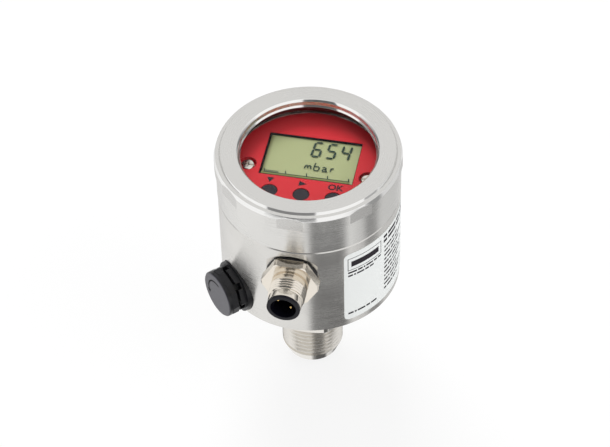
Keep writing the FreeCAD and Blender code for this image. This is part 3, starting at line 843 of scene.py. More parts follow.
@dataclass(frozen=True)
class CircuitBoard(Finish):
    """Board laminate with solder mask, tracks and small pads.

    Attributes:
        track_pitch: spacing of the tracks in millimetres.
    """

    track_pitch: float = 1.27

    TIN = (0.62, 0.60, 0.55)

    def shade(self, board: NodeBoard) -> bpy.types.NodeSocket:
        """Solder mask with slightly raised tracks and tinned pads.

        Args:
            board: board of the material's shader tree.

        Returns:
            The shader.
        """
        place = board.object_place()
        per_metre = 1.0 / (self.track_pitch * MM)
        cell_inputs = {"Vector": place, "Scale": per_metre * 0.5}
        cells = board.put("ShaderNodeTexVoronoi", cell_inputs, distance="CHEBYCHEV")
        tracks = board.put("ShaderNodeTexBrick", {"Vector": place, "Scale": per_metre * 0.25}).outputs["Fac"]
        pads = board.math("LESS_THAN", cells.outputs["Distance"], 0.12)
        mask = board.blend(tracks, self.colour, toned(self.colour, 1.6))
        return board.surface(
            board.blend(pads, mask, self.TIN),
            board.ramp(pads, 0.0, 1.0, self.roughness, 0.3),
            Metallic=pads,
            Normal=board.relief(tracks, 0.2, 0.05),
        )


@dataclass(frozen=True)
class Film(Finish):
    """Thin printed or plain sheet: label film, print and display layers.

    Attributes:
        mottle: how much the tone varies.
        mottle_size: size of the tone's patches in millimetres.
        gloss: specular level.
        unevenness: strength of the surface's unevenness.
    """

    mottle: float = 0.04
    mottle_size: float = 0.6
    gloss: float = 0.3
    unevenness: float = 0.06

    WAVER = 0.04

    def shade(self, board: NodeBoard) -> bpy.types.NodeSocket:
        """Sheet with a light mottle and a fine surface.

        Args:
            board: board of the material's shader tree.

        Returns:
            The shader.
        """
        place = board.object_place()
        mottle = board.noise(place, 1.0 / (self.mottle_size * MM))
        even = board.blend(mottle, toned(self.colour, 1.0 - self.mottle), self.colour)
        return board.surface(
            self.tone(board, place, even),
            board.ramp(mottle, 0.3, 0.7, self.roughness - self.WAVER, self.roughness + self.WAVER),
            Specular_IOR_Level=self.gloss,
            Normal=board.relief(mottle, self.unevenness, 0.05),
        )

    def tone(
        self, board: NodeBoard, place: bpy.types.NodeSocket, colour: bpy.types.NodeSocket
    ) -> bpy.types.NodeSocket:
        """Colour at a place. A plain film has its own everywhere."""
        return colour


@dataclass(frozen=True)
class DisplayFilm(Film):
    """Display film with a painted shadow of the frame, darker towards its left and far edges.

    Attributes:
        left: where the painted shadow at the left edge starts and ends, in millimetres.
        far: where the painted shadow at the far edge starts and ends, in millimetres.
        far_shadow_share: strength of the painted shadow at the far edge.
        painted_shadow_colour: colour of the painted shadow at the edges, linear.
    """

    left: Point = (-13.2, -15.4)
    far: Point = (12.3, 13.5)
    far_shadow_share: float = 0.35
    painted_shadow_colour: Colour = (0.11, 0.09, 0.025)

    def tone(
        self, board: NodeBoard, place: bpy.types.NodeSocket, colour: bpy.types.NodeSocket
    ) -> bpy.types.NodeSocket:
        """Painted shadow of the frame: darker colour towards the left and far edges.

        Args:
            board: board of the material's shader tree.
            place: object coordinates.
            colour: the plain colour.

        Returns:
            The colour at the place.
        """
        parts = board.parts(place)
        # Painted shadow of the frame, full at the left edge and weaker at the far edge
        side = board.ramp(parts["X"], self.left[0] * MM, self.left[1] * MM)
        rear = board.ramp(parts["Y"], self.far[0] * MM, self.far[1] * MM)
        share = board.math("MAXIMUM", side, board.math("MULTIPLY", rear, self.far_shadow_share))
        return board.blend(share, colour, self.painted_shadow_colour)


BODY_STEEL = TurnedMetal("body_steel", (0.80, 0.785, 0.755), 0.24, stretch=0.97, edge=0.15)
CAP_STEEL = TurnedMetal("cap_steel", (0.81, 0.80, 0.775), 0.24, stretch=0.96)
FLAT_STEEL = TurnedMetal("flat_steel", (0.66, 0.65, 0.63), 0.28, mark_pitch=0.3, mark_depth=0.12, stretch=0.5)
# Glass retainer steel, darkened and reddened: painted shade inside the cap and a painted reflection of the
# red cover plate
RETAINER_PAINTED_SHADE = TurnedMetal("retainer_painted_shade", (0.20, 0.14, 0.135), 0.34, stretch=0.6)
# Polished chamfer steel whose colour is raised above the cap's steel: real polish plus a painted highlight on
# the chamfers
CHAMFER_POLISH_AND_PAINTED_HIGHLIGHT = TurnedMetal(
    "chamfer_polish_and_painted_highlight", (0.96, 0.955, 0.94), 0.11, mark_depth=0.03, stretch=0.3, waver=0.03
)
STEM_STEEL = TurnedMetal("stem_steel", (0.84, 0.81, 0.76), 0.22, mark_depth=0.04, stretch=0.5, waver=0.04)
NICKEL = TurnedMetal(
    "bright_nickel", (0.87, 0.81, 0.72), 0.13, axis=Axis.Y, mark_depth=0.02, stretch=0.3, waver=0.03
)
SCREW_NICKEL = TurnedMetal(
    "screw_nickel", (0.88, 0.85, 0.79), 0.14, mark_depth=0.03, stretch=0.1, edge=0.12, waver=0.03
)
BRASS = TurnedMetal("post_brass", (0.72, 0.53, 0.24), 0.28, stretch=0.2, edge=0.1)
GOLD = TurnedMetal(
    "contact_gold", (0.86, 0.60, 0.24), 0.16, axis=Axis.Y, mark_depth=0.02, stretch=0.1, edge=0.1
)
THIN_STEEL = TurnedMetal("diaphragm_steel", (0.70, 0.69, 0.67), 0.20, stretch=0.3)
RED_PLASTIC = Moulded(
    "red_plastic", (0.60, 0.022, 0.032), 0.5, grain=0.18, grain_depth=0.08, shade_spread=0.05, gloss=0.25
)
VENT_BLACK = (0.007, 0.007, 0.009)
VENT_PLASTIC = Moulded("vent_plastic", VENT_BLACK, 0.34, grain=0.2, grain_depth=0.12, gloss=0.38)
VENT_FACE = FacedPlastic("vent_face", VENT_BLACK, 0.34, grain=0.2, grain_depth=0.12, gloss=0.38)
INSERT_PLASTIC = Moulded("insert_plastic", (0.004, 0.004, 0.008), 0.35, grain=0.2, grain_depth=0.1, gloss=0.2)
CARRIER_PLASTIC = Moulded("carrier_plastic", (0.02, 0.02, 0.02), 0.5)
BUTTON_RUBBER = Moulded("button_rubber", (0.032, 0.027, 0.034), 0.6, grain=0.12, grain_depth=0.2, gloss=0.2)
SEAL_RUBBER = Moulded(
    "seal_rubber", (0.004, 0.004, 0.005), 0.12, grain=0.5, grain_depth=0.03, edge=0.3, gloss=0.45
)
LEAD_SLEEVE = Moulded("lead_sleeve", (0.30, 0.02, 0.02), 0.45)
MEMBRANE = Moulded("vent_membrane", (0.75, 0.75, 0.73), 0.8, grain=0.08, grain_depth=0.4)
WINDOW_GLASS = Pane("window_glass", (0.985, 0.99, 0.985), 0.02, sheen=0.002)
DISPLAY_GLASS = Pane("display_glass", (0.97, 0.975, 0.95), 0.08, sheen=0.01)
SOLDER_MASK = CircuitBoard("solder_mask", (0.01, 0.10, 0.045), 0.4)
REFLECTOR = Film("display_reflector", (0.50, 0.53, 0.30), 0.5, mottle=0.06, mottle_size=0.35)
# Display film with the frame's shadow painted on towards its left and far edges
DISPLAY_FILM = DisplayFilm(
    "display_film", (0.43, 0.455, 0.25), 0.55, mottle=0.06, mottle_size=0.35, unevenness=0.0
)
STRIP_FILM = Film("strip_film", (0.22, 0.23, 0.08), 0.5, mottle=0.08)
FRAME_BLACK = Film("frame_black", (0.006, 0.005, 0.006), 0.6, mottle=0.2, gloss=0.1)
SEGMENT_INK = Film("segment_ink", (0.040, 0.066, 0.054), 0.6, gloss=0.1)
PRINT_INK = Film("print_ink", (0.026, 0.022, 0.028), 0.6, gloss=0.12)
LABEL_FILM = Film("label_film", (0.82, 0.84, 0.83), 0.5, mottle=0.02, gloss=0.2)


def dress(finish: Finish, *nodes: str) -> None:
    """Gives CAD nodes a finish.

    Args:
        finish: the finish.
        nodes: names of the CAD nodes.
    """
    for name in nodes:
        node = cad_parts[name]
        for slot in node.material_slots:
            slot.material = finish.material()
        log.info("%s dressed in %s", name, finish.name)


@dataclass
class SubAssembly:
    """Pieces that are built together and ride on one CAD body."""

    body: Body

    def fit(self, piece: bpy.types.Object, slot: str, *replaced: str) -> bpy.types.Object:
        """Hands a finished piece to the frame.

        Args:
            piece: the object, in its place.
            slot: the record's material slot; not used.
            replaced: CAD nodes that the piece stands for.

        Returns:
            The same object.
        """
        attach(piece, self.body.value)
        if replaced:
            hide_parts(*replaced)
        log.info("%s rides on %s", piece.name, self.body.value)
        return piece


# ------------------------------------------------------------------ pressure side
@dataclass
class ProcessStem(SubAssembly):
    """Threaded stem, hexagon collar and neck under the housing."""

    body: Body = Body.HOUSING
    thread_radius: float = 10.4775
    thread_pitch: float = 1.814
    thread_depth: float = 1.162
    thread_end: float = -15.9
    thread_top: float = -0.3
    core_depth: float = 0.3
    tip_radius: float = 8.9
    spigot_radius: float = 3.0
    spigot_length: float = 3.0
    port_radius: float = 1.5
    collar_height: float = 14.0
    collar_flats: float = 27.0
    collar_chamfer: float = 0.8
    neck_radius: float = 12.0
    boss_radius: float = 13.5

    def build(self) -> None:
        """Makes the stem in one piece."""
        box = NodeBox.of("process_connection")
        body_bottom = NodeBox.of("housing_body").low.z
        foot = box.low.z
        end = foot + self.spigot_length
        root = self.thread_radius - self.thread_depth
        inner = root - self.core_depth
        top = self.thread_top
        major = self.thread_radius
        thread = ScrewThread(
            major, root, self.thread_pitch, self.thread_end, top, start_radius=major, end_radius=root
        ).draft()
        core = revolve(
            rounded([
                (self.port_radius, foot, 0.2),
                (self.spigot_radius, foot, 0.3),
                (self.spigot_radius, end, 0.2),
                (self.tip_radius, end, 0.35),
                (self.thread_radius, self.thread_end, 0.1),
                (inner, self.thread_end),
                (inner, 0.0),
                (inner, 1.0),
                (self.port_radius, 1.0),
            ]),
            128,
        )
        shoulder = revolve([(root, top), (root, 0.2), (root - 1.0, 0.2), (root - 1.0, top)], 128)
        neck_foot = self.collar_height - 0.5
        neck = revolve([
            (self.port_radius, neck_foot),
            (self.neck_radius, neck_foot),
            (self.neck_radius, body_bottom),
            (self.boss_radius, body_bottom),
            (self.boss_radius, box.high.z),
            (self.port_radius, box.high.z),
        ], 128)
        mesh = thread.join(core).join(shoulder).join(neck).join(self._collar()).bmesh()
        piece = make_object("process_stem", mesh, [STEM_STEEL.material()])
        self.fit(soften(piece, 0.15, 35.0), "steel", "process_connection")

    def _collar(self) -> Draft:
        """Hexagon collar with turned chamfers.

        Returns:
            The collar, closed at its port.
        """
        half = self.collar_flats / 2
        outer = half + 2 * self.collar_chamfer
        top = self.collar_height
        mesh = revolve([
            (self.port_radius, 0.0),
            (half, 0.0),
            (outer, self.collar_chamfer),
            (outer, top - self.collar_chamfer),
            (half, top),
            (self.port_radius, top),
        ], 180).bmesh()
        flats(mesh, 6, half)
        return from_bmesh(mesh)


def from_bmesh(mesh: bmesh.types.BMesh) -> Draft:
    """A bmesh as a draft. The bmesh is freed.

    Args:
        mesh: the bmesh, in millimetres.

    Returns:
        The draft.
    """
    mesh.verts.index_update()
    draft = Draft(
        [vertex.co.copy() for vertex in mesh.verts],
        [tuple(vertex.index for vertex in face.verts) for face in mesh.faces],
        [face.material_index for face in mesh.faces],
    )
    mesh.free()
    return draft


# ------------------------------------------------------------------ cap
@dataclass
class ScrewCap(SubAssembly):
    """Screw cap: skirt, stepped flange with wrench flats, and the lip round the window."""

    body: Body = Body.CAP
    flange_radius: float = 30.6
    skirt_radius: float = 30.15
    skirt_edge: float = 0.3
    top_radius: float = 28.5
    step_radius: float = 28.9
    step_depth: float = 0.95
    chamfer_radius: float = 30.1
    flange_top: float = 2.4
    flange_bottom: float = 6.5
    bore_radius: float = 28.05
    bore_top: float = 7.7
    seat_radius: float = 26.65
    seal_recess: Point = (29.1, 1.05)
    lip_top: float = 23.15
    lip_wall: float = 22.5
    lip_bead: float = 21.95
    lip_underside: float = 2.6
    flat_count: int = 8
    flat_width: float = 8.5
    edge: float = 0.11

    def build(self) -> None:
        """Makes the cap in one piece and dresses what it holds."""
        box = NodeBox.of("cap_ring")
        top, bottom = box.high.z, box.low.z
        # Finish 1, the polished chamfers, also carries a painted highlight in its raised colour
        satin, bright = 0, 1
        runs = [
            ((self.lip_top, top), satin),
            ((self.top_radius, top), bright),
            ((self.step_radius, top - self.step_depth), satin),
            ((self.chamfer_radius, top - self.step_depth), bright),
            ((self.flange_radius, top - self.flange_top), satin),
            ((self.flange_radius, top - self.flange_bottom), satin),
            ((self.skirt_radius, top - self.flange_bottom), satin),
            ((self.skirt_radius, bottom + self.skirt_edge), bright),
            ((self.skirt_radius - self.skirt_edge, bottom), satin),
            ((self.seal_recess[0], bottom), satin),
            ((self.seal_recess[0], bottom + self.seal_recess[1]), satin),
            ((self.bore_radius, bottom + self.seal_recess[1]), satin),
            ((self.bore_radius, top - self.bore_top), satin),
            ((self.seat_radius, top - self.bore_top), satin),
            ((self.seat_radius, top - self.lip_underside), satin),
            ((self.lip_bead, top - self.lip_underside), bright),
            ((self.lip_wall, top - self.lip_underside + (self.lip_wall - self.lip_bead)), satin),
            ((self.lip_wall, top - (self.lip_top - self.lip_wall)), bright),
        ]
        mesh = revolve([point for point, _ in runs], 240, [finish for _, finish in runs]).bmesh()
        half_flat = self.flat_width / 2
        flats(mesh, self.flat_count, math.sqrt(self.flange_radius**2 - half_flat**2), finish=2)
        finishes = (CAP_STEEL, CHAMFER_POLISH_AND_PAINTED_HIGHLIGHT, FLAT_STEEL)
        piece = make_object("cap_shell", mesh, [finish.material() for finish in finishes])
        self.fit(soften(piece, self.edge, 6.0), "steel", "cap_ring")
        dress(SEAL_RUBBER, "cap_seal", "window_gasket")
        dress(WINDOW_GLASS, "window_glass")
        # The retainer's colour holds painted shade and a painted reflection of the red plate
        dress(RETAINER_PAINTED_SHADE, "glass_retainer")


# ------------------------------------------------------------------ housing
@dataclass
class Housing(SubAssembly):
    """Turned housing and everything inside it that keeps its CAD shape."""

    body: Body = Body.HOUSING

    def build(self) -> None:
        """Dresses the housing's CAD nodes."""
        dress(BODY_STEEL, "housing_body")
        dress(THIN_STEEL, "process_diaphragm", "sensor_cell")
        dress(SOLDER_MASK, "sensor_board", "main_board", "display_board")
        dress(CARRIER_PLASTIC, "board_stacker", "lcd_carrier", "switch_down", "switch_next", "switch_ok")
        standoffs = [f"{level}_standoff_{i}" for level in ("lower", "upper") for i in (1, 2, 3)]
        dress(BRASS, "cover_post_left", "cover_post_right", *standoffs)
        dress(LEAD_SLEEVE, "signal_lead_1", "signal_lead_2")


# ------------------------------------------------------------------ display
@dataclass
class SegmentDigit:
    """Seven-segment digit, leaning to the right.

    Attributes:
        left: left side at the digit's foot.
        foot: height of the foot.
        width: width over the outer segments.
        height: height of the digit.
        bar: width of a segment.
        lean: lean in degrees.
        gap: gap between segments.
    """

    left: float
    foot: float
    width: float
    height: float
    bar: float = 0.74
    lean: float = 4.5
    gap: float = 0.12

    LIT = {"4": "bcfg", "5": "acdfg", "6": "acdefg"}

    def _bars(self) -> dict[str, tuple[Point, Point]]:
        """Ends of each segment's middle line, by its letter.

        Returns:
            Both ends of each line.
        """
        low, mid, high = self.bar / 2, self.height / 2, self.height - self.bar / 2
        left, right = self.bar / 2, self.width - self.bar / 2
        return {
            "a": ((left, high), (right, high)),
            "b": ((right, high), (right, mid)),
            "c": ((right, mid), (right, low)),
            "d": ((left, low), (right, low)),
            "e": ((left, mid), (left, low)),
            "f": ((left, high), (left, mid)),
            "g": ((left, mid), (right, mid)),
        }

    def draft(self, figure: str, height: float) -> Draft:
        """Lit segments of a figure as flat pointed bars.

        Args:
            figure: one of the figures in LIT.
            height: height of the flat faces.

        Returns:
            The bars.
        """
        slope = math.tan(math.radians(self.lean))
        draft = Draft()
        for letter, (start, end) in self._bars().items():
            if letter not in self.LIT[figure]:
                continue
            first, last = Vector(start), Vector(end)
            along = (last - first).normalized()
            across = Vector((-along.y, along.x)) * self.bar / 2
            first, last = first + along * self.gap, last - along * self.gap
            shoulder = along * self.bar / 2
            outline = [
                first, first + shoulder - across, last - shoulder - across,
                last, last - shoulder + across, first + shoulder + across,
            ]
            leaned = [(self.left + p.x + slope * p.y, self.foot + p.y) for p in outline]
            draft.join(flat_polygon(leaned, height))
        return draft


@dataclass
class DisplayPanel(SubAssembly):
    """Red cover plate, display stack with its reading, print and cover screws."""

    body: Body = Body.HOUSING
    reading: str = "654"
    digit_left: tuple[float, ...] = (-0.75, 4.05, 8.75)
    digit_foot: float = 5.3
    digit_width: float = 3.35
    digit_height: float = 7.15
    segment_depth: float = 0.06
    film_depth: float = 0.36
    frame_wall: float = 0.13
    frame_left: float = 0.5
    frame_side: float = 0.12
    print_lift: float = 0.015
    print_row: float = -7.85
    graph_line: float = -3.85
    graph_foot: float = -4.85
    graph_span: Point = (-14.2, 14.1)
    foot_span: Point = (-14.6, 14.6)
    strip_span: Point = (-14.9, 14.1)
    tick_count: int = 5
    tick_start: float = -13.85
    tick_pitch: float = 6.95
    tick_rise: float = 1.4
    hatch_count: int = 7
    hatch_start: float = -13.3
    hatch_pitch: float = 0.62
    hatch_rise: float = 0.95
    unit_line: float = 0.4
    word_size: float = 3.35
    word_boldness: float = 0.11
    word_place: float = 10.4

    # Corners of the arrows, counted from the middle of the print's row
    DOWN_ARROW = ((-12.3, 1.1), (-11.1, -1.15), (-9.9, 1.1))
    NEXT_ARROW = ((-1.6, -1.15), (1.05, 0.0), (-1.6, 1.15))

    # Strokes of the unit's letters, each with the place of its letter's foot
    UNIT = (
        ((-1.35, -0.3), [(0.0, 0.0), (0.1, 1.1), (0.5, 1.6), (0.9, 1.4), (1.0, 0.2)]),
        ((-1.35, -0.3), [(1.0, 1.1), (1.5, 1.6), (1.95, 1.3), (2.05, 0.0)]),
        ((1.55, -0.6), [
            (0.35, 3.4), (0.15, 1.8), (0.1, 0.5), (0.5, 0.0), (1.5, 0.0),
            (1.9, 0.6), (1.8, 1.5), (1.4, 1.85), (0.2, 1.75),
        ]),
        ((4.35, -0.6), [(0.1, 1.6), (0.7, 1.9), (1.2, 1.6), (1.35, 0.8), (1.5, 0.0), (1.95, 0.0)]),
        ((4.35, -0.6), [(1.3, 1.0), (0.5, 0.9), (0.15, 0.5), (0.4, 0.0), (1.5, 0.0)]),
        ((7.2, -0.35), [(0.0, 0.0), (0.1, 1.6)]),
        ((7.2, -0.35), [(0.1, 1.0), (0.45, 1.5), (0.95, 1.65)]),
    )

    def build(self) -> None:
        """Dresses the display's CAD nodes and adds the reading and the print."""
        dress(RED_PLASTIC, "display_cover")
        dress(REFLECTOR, "lcd_reflector")
        dress(DISPLAY_GLASS, "lcd_glass")
        dress(SCREW_NICKEL, "cover_screw_left", "cover_screw_right")
        self._film()
        self._reading()
        self._bar_graph()
        self._unit()
        self._print()

    def _segment_height(self) -> float:
        """Height of the display's segments, inside its glass."""
        return NodeBox.of("lcd_glass").high.z - self.segment_depth

    def _flat(self, name: str, draft: Draft, finish: Finish, slot: str) -> None:
        """Fits a flat piece."""
        piece = make_object(name, draft.bmesh(), [finish.material()], outward=False)
        self.fit(piece, slot)

    def _film(self) -> None:
        """The display's green film, and the black frame that lines the opening and masks the film's edges."""
        glass = NodeBox.of("lcd_glass")
        level = glass.high.z - self.film_depth

        def frame_line(left: float, side: float) -> list[Point]:
            """Corners moved inward from the glass's edges.

            Args:
                left: distance from the left edge.
                side: distance from the other three.

            Returns:
                The four corners.
            """
            low_x, high_x = glass.low.x + left, glass.high.x - side
            low_y, high_y = glass.low.y + side, glass.high.y - side
            return [(low_x, low_y), (high_x, low_y), (high_x, high_y), (low_x, high_y)]

        corners = frame_line(0.0, 0.0)
        self._flat("display_film", flat_polygon(corners, level), DISPLAY_FILM, "display")
        outer = frame_line(-self.frame_wall, -self.frame_wall)
        mask = frame_line(self.frame_left, self.frame_side)
        crest, ledge = NodeBox.of("display_cover").high.z - self.print_lift, level + self.print_lift
        rows = [(outer, level), (outer, crest), (corners, crest), (corners, ledge), (mask, ledge)]
        points = [(x, y, z) for outline, z in rows for x, y in outline]
        faces = [
            (4 * row + i, 4 * row + (i + 1) % 4, 4 * row + 4 + (i + 1) % 4, 4 * row + 4 + i)
            for row in range(len(rows) - 1)
            for i in range(4)
        ]
        self._flat("display_frame", Draft().add(points, faces), FRAME_BLACK, "black_plastic")

    def _reading(self) -> None:
        """The figures of the reading."""
        height = self._segment_height()
        draft = Draft()
        for figure, left in zip(self.reading, self.digit_left):
            digit = SegmentDigit(left, self.digit_foot, self.digit_width, self.digit_height)
            draft.join(digit.draft(figure, height))
        self._flat("reading_segments", draft, SEGMENT_INK, "display")

    def _bar_graph(self) -> None:
        """Scale line with its ticks, the short hatched bar and the strip below them."""
        height = self._segment_height()
        line, foot = self.graph_line, self.graph_foot
        draft = stroke([(self.graph_span[0], line - 0.1), (self.graph_span[1], line + 0.05)], 0.3, height)
        draft.join(stroke([(x, foot) for x in self.foot_span], 0.25, height))
        for i in range(self.tick_count):
            x = self.tick_start + self.tick_pitch * i
            draft.join(stroke([(x + 0.05, line), (x - 0.25, line + self.tick_rise)], 0.36, height))
        for i in range(self.hatch_count):
            x = self.hatch_start + self.hatch_pitch * i
            draft.join(stroke([(x, line), (x + 0.05, line + self.hatch_rise)], 0.3, height))
        self._flat("bar_graph", draft, SEGMENT_INK, "display")
        middle = (line + foot) / 2
        strip = stroke([(x, middle) for x in self.strip_span], line - foot, height - self.print_lift)
        self._flat("scale_strip", strip, STRIP_FILM, "display")

    def _unit(self) -> None:
        """The unit of the reading in thin strokes."""
        draft = Draft()
        for (left, foot), line in self.UNIT:
            points = [(left + x, foot + y) for x, y in line]
            draft.join(stroke(points, self.unit_line, self._segment_height()))
        self._flat("unit_segments", draft, SEGMENT_INK, "display")

    def _print(self) -> None:
        """Arrows and the word over the buttons."""
        top = NodeBox.of("display_cover").high.z + self.print_lift
        row = self.print_row
        draft = Draft()
        for arrow in (self.DOWN_ARROW, self.NEXT_ARROW):
            draft.join(flat_polygon([(x, row + y) for x, y in arrow], top))
        self._flat("button_arrows", draft, PRINT_INK, "black_plastic")
        text = bpy.data.curves.new("confirm", "FONT")
        text.body = "OK"
        text.size = self.word_size * MM
        text.align_x = "CENTER"
        text.align_y = "CENTER"
        text.offset = self.word_boldness * MM
        carrier = bpy.data.objects.new("confirm_text", text)
        bpy.context.scene.collection.objects.link(carrier)
        bpy.context.view_layer.update()
        data = bpy.data.meshes.new_from_object(carrier)
        bpy.data.objects.remove(carrier)
        word = bpy.data.objects.new("confirm_print", data)
        bpy.context.scene.collection.objects.link(word)
        word.location = (self.word_place * MM, row * MM, top * MM)
        data.materials.clear()
        data.materials.append(PRINT_INK.material())
        self.fit(word, "black_plastic")


@dataclass
class PushButton(SubAssembly):
    """Round button, slightly dished, with its flange and stem."""

    node: str = ""
    radius: float = 2.7
    dish: float = 0.12
    switch_gap: float = 0.03
    stem_radius: float = 1.5
    flange_height: float = 0.8

    def build(self) -> None:
        """Makes the button in one piece."""
        box = NodeBox.of(self.node)
        cover = NodeBox.of("display_cover").low.z
        flange = box.size.x / 2
        top = box.high.z
        foot = box.low.z + self.switch_gap
        outline = rounded([
            (NEAR_AXIS, foot),
            (self.stem_radius, foot, 0.1),
            (self.stem_radius, cover - self.flange_height, 0.1),
            (flange, cover - self.flange_height, 0.15),
            (flange, cover, 0.1),
            (self.radius, cover, 0.1),
            (self.radius, top, 0.35),
            (self.radius * 0.55, top - self.dish * 0.7),
            (NEAR_AXIS, top - self.dish),
        ], closed=False)
        place = Matrix.Translation((box.centre.x, box.centre.y, 0.0))
        mesh = revolve(outline, 96, closed=False).moved(place).bmesh()
        piece = make_object(f"{self.node}_key", mesh, [BUTTON_RUBBER.material()])
        self.fit(piece, "button_grey", self.node)


# ------------------------------------------------------------------ plug inlet
@dataclass
class PlugInlet(SubAssembly):
    """Nickel-plated inlet: hexagon, neck, thread and nose, with its insert, seal and pins."""

    body: Body = Body.HOUSING
    stem_radius: float = 7.0
    hex_flats: float = 17.0
    hex_round: float = 9.5
    hex_face: float = 9.15
    hex_thickness: float = 2.8
    neck_radius: float = 5.45
    neck_length: float = 0.7
    shoulder: float = 0.5
    plain_length: float = 1.5
    thread_radius: float = 6.0
    thread_depth: float = 0.55
    thread_pitch: float = 1.0
    thread_length: float = 5.9
    groove_length: float = 0.4
    nose_radius: float = 5.6
    nose_tip: float = 5.45
    bore_radius: float = 5.25
    seal_radius: float = 8.75
    seal_round: float = 0.4
    hex_back: float = 0.4
    root_gap: float = 0.1
    run_out: float = 0.3

    def build(self) -> None:
        """Makes the shell and dresses the insert, seal and pins."""
        shell = NodeBox.of("connector_shell")
        height = shell.centre.z
        front, back = -shell.low.y, -shell.high.y
        seal_front = -NodeBox.of("connector_seal").low.y
        hex_front = seal_front + self.hex_thickness
        thread_back = hex_front + self.neck_length
        thread_start = thread_back + self.plain_length
        thread_front = thread_back + self.thread_length
        nose_back = thread_front + self.groove_length
        root = self.thread_radius - self.thread_depth
        groove = root - self.root_gap
        turned = revolve(rounded([
            (self.bore_radius, back),
            (self.stem_radius, back),
            (self.stem_radius, seal_front),
            (self.neck_radius, hex_front, 0.2),
            (self.neck_radius, thread_back - self.shoulder),
            (self.thread_radius, thread_back, 0.12),
            (self.thread_radius, thread_start, 0.1),
            (root, thread_start + self.run_out),
            (groove, thread_front - 0.2),
            (groove, nose_back, 0.1),
            (self.nose_radius, nose_back, 0.15),
            (self.nose_tip, front, 0.15),
            (self.bore_radius, front),
        ]), 160)
        major = self.thread_radius
        thread = ScrewThread(
            major, root, self.thread_pitch, thread_start, thread_front, start_radius=major, end_radius=groove
        ).draft()
        hex_back, hex_bore = seal_front - self.hex_back, self.neck_radius - 1.0
        hexagon = revolve([
            (hex_bore, hex_back),
            (self.hex_round, hex_back),
            (self.hex_round, hex_front - (self.hex_round - self.hex_face)),
            (self.hex_face, hex_front),
            (hex_bore, hex_front),
        ], 180).bmesh()
        flats(hexagon, 6, self.hex_flats / 2)
        draft = turned.join(thread).join(from_bmesh(hexagon)).moved(on_wall(0.0, height))
        piece = make_object("inlet_shell", draft.bmesh(), [NICKEL.material()])
        self.fit(soften(piece, 0.12, 30.0), "nickel", "connector_shell")
        seal_back = -NodeBox.of("connector_seal").high.y
        ring = revolve(rounded([
            (self.stem_radius, seal_back),
            (self.seal_radius, seal_back, self.seal_round),
            (self.seal_radius, hex_back, self.seal_round),
            (self.stem_radius, hex_back),
        ]), 160).moved(on_wall(0.0, height))
        seal = make_object("inlet_seal", ring.bmesh(), [SEAL_RUBBER.material()])
        self.fit(seal, "seal_rubber", "connector_seal")
        dress(INSERT_PLASTIC, "connector_insert")
        dress(GOLD, "contact_pin_1", "contact_pin_2")


# ------------------------------------------------------------------ vent plug
@dataclass
class VentPlug(SubAssembly):
    """Black vent plug with its castellated base and faceted splash cap."""

    body: Body = Body.HOUSING
    arrow_lift: float = 0.17
    arrow_radius: float = 5.2
    arrow_width: float = 0.6
    arrow_span: Point = (75.0, 195.0)
    arrow_head: Point = (1.0, 1.7)

    def build(self) -> None:
        """Dresses the plug's CAD nodes."""
        dress(VENT_PLASTIC, "vent_body")
        dress(VENT_FACE, "vent_cap")
        dress(SEAL_RUBBER, "vent_seal")
        dress(MEMBRANE, "vent_membrane")
        self._arrow()

    def _arrow(self) -> None:
        """Curved arrow on the face that shows which way the plug turns."""
        curve = arc_points((0.0, 0.0), self.arrow_radius, *self.arrow_span, 24)
        draft = stroke(curve, self.arrow_width, 0.0)
        end = math.radians(self.arrow_span[1])
        out = Vector((math.cos(end), math.sin(end)))
        ahead = Vector((-out.y, out.x))
        middle = out * self.arrow_radius
        half_base, length = self.arrow_head
        head = [middle + out * half_base, middle + ahead * length, middle - out * half_base]
        draft.join(flat_polygon([tuple(point) for point in head], 0.0))
        azimuth = VENT_FACE.azimuth
        place = Matrix.Translation(wall_direction(azimuth) * (VENT_FACE.face_reach + self.arrow_lift))
        draft = draft.moved(place @ on_wall(azimuth, NodeBox.of("vent_cap").centre.z))
        piece = make_object("vent_arrow", draft.bmesh(), [FRAME_BLACK.material()], outward=False)
        self.fit(piece, "black_plastic")


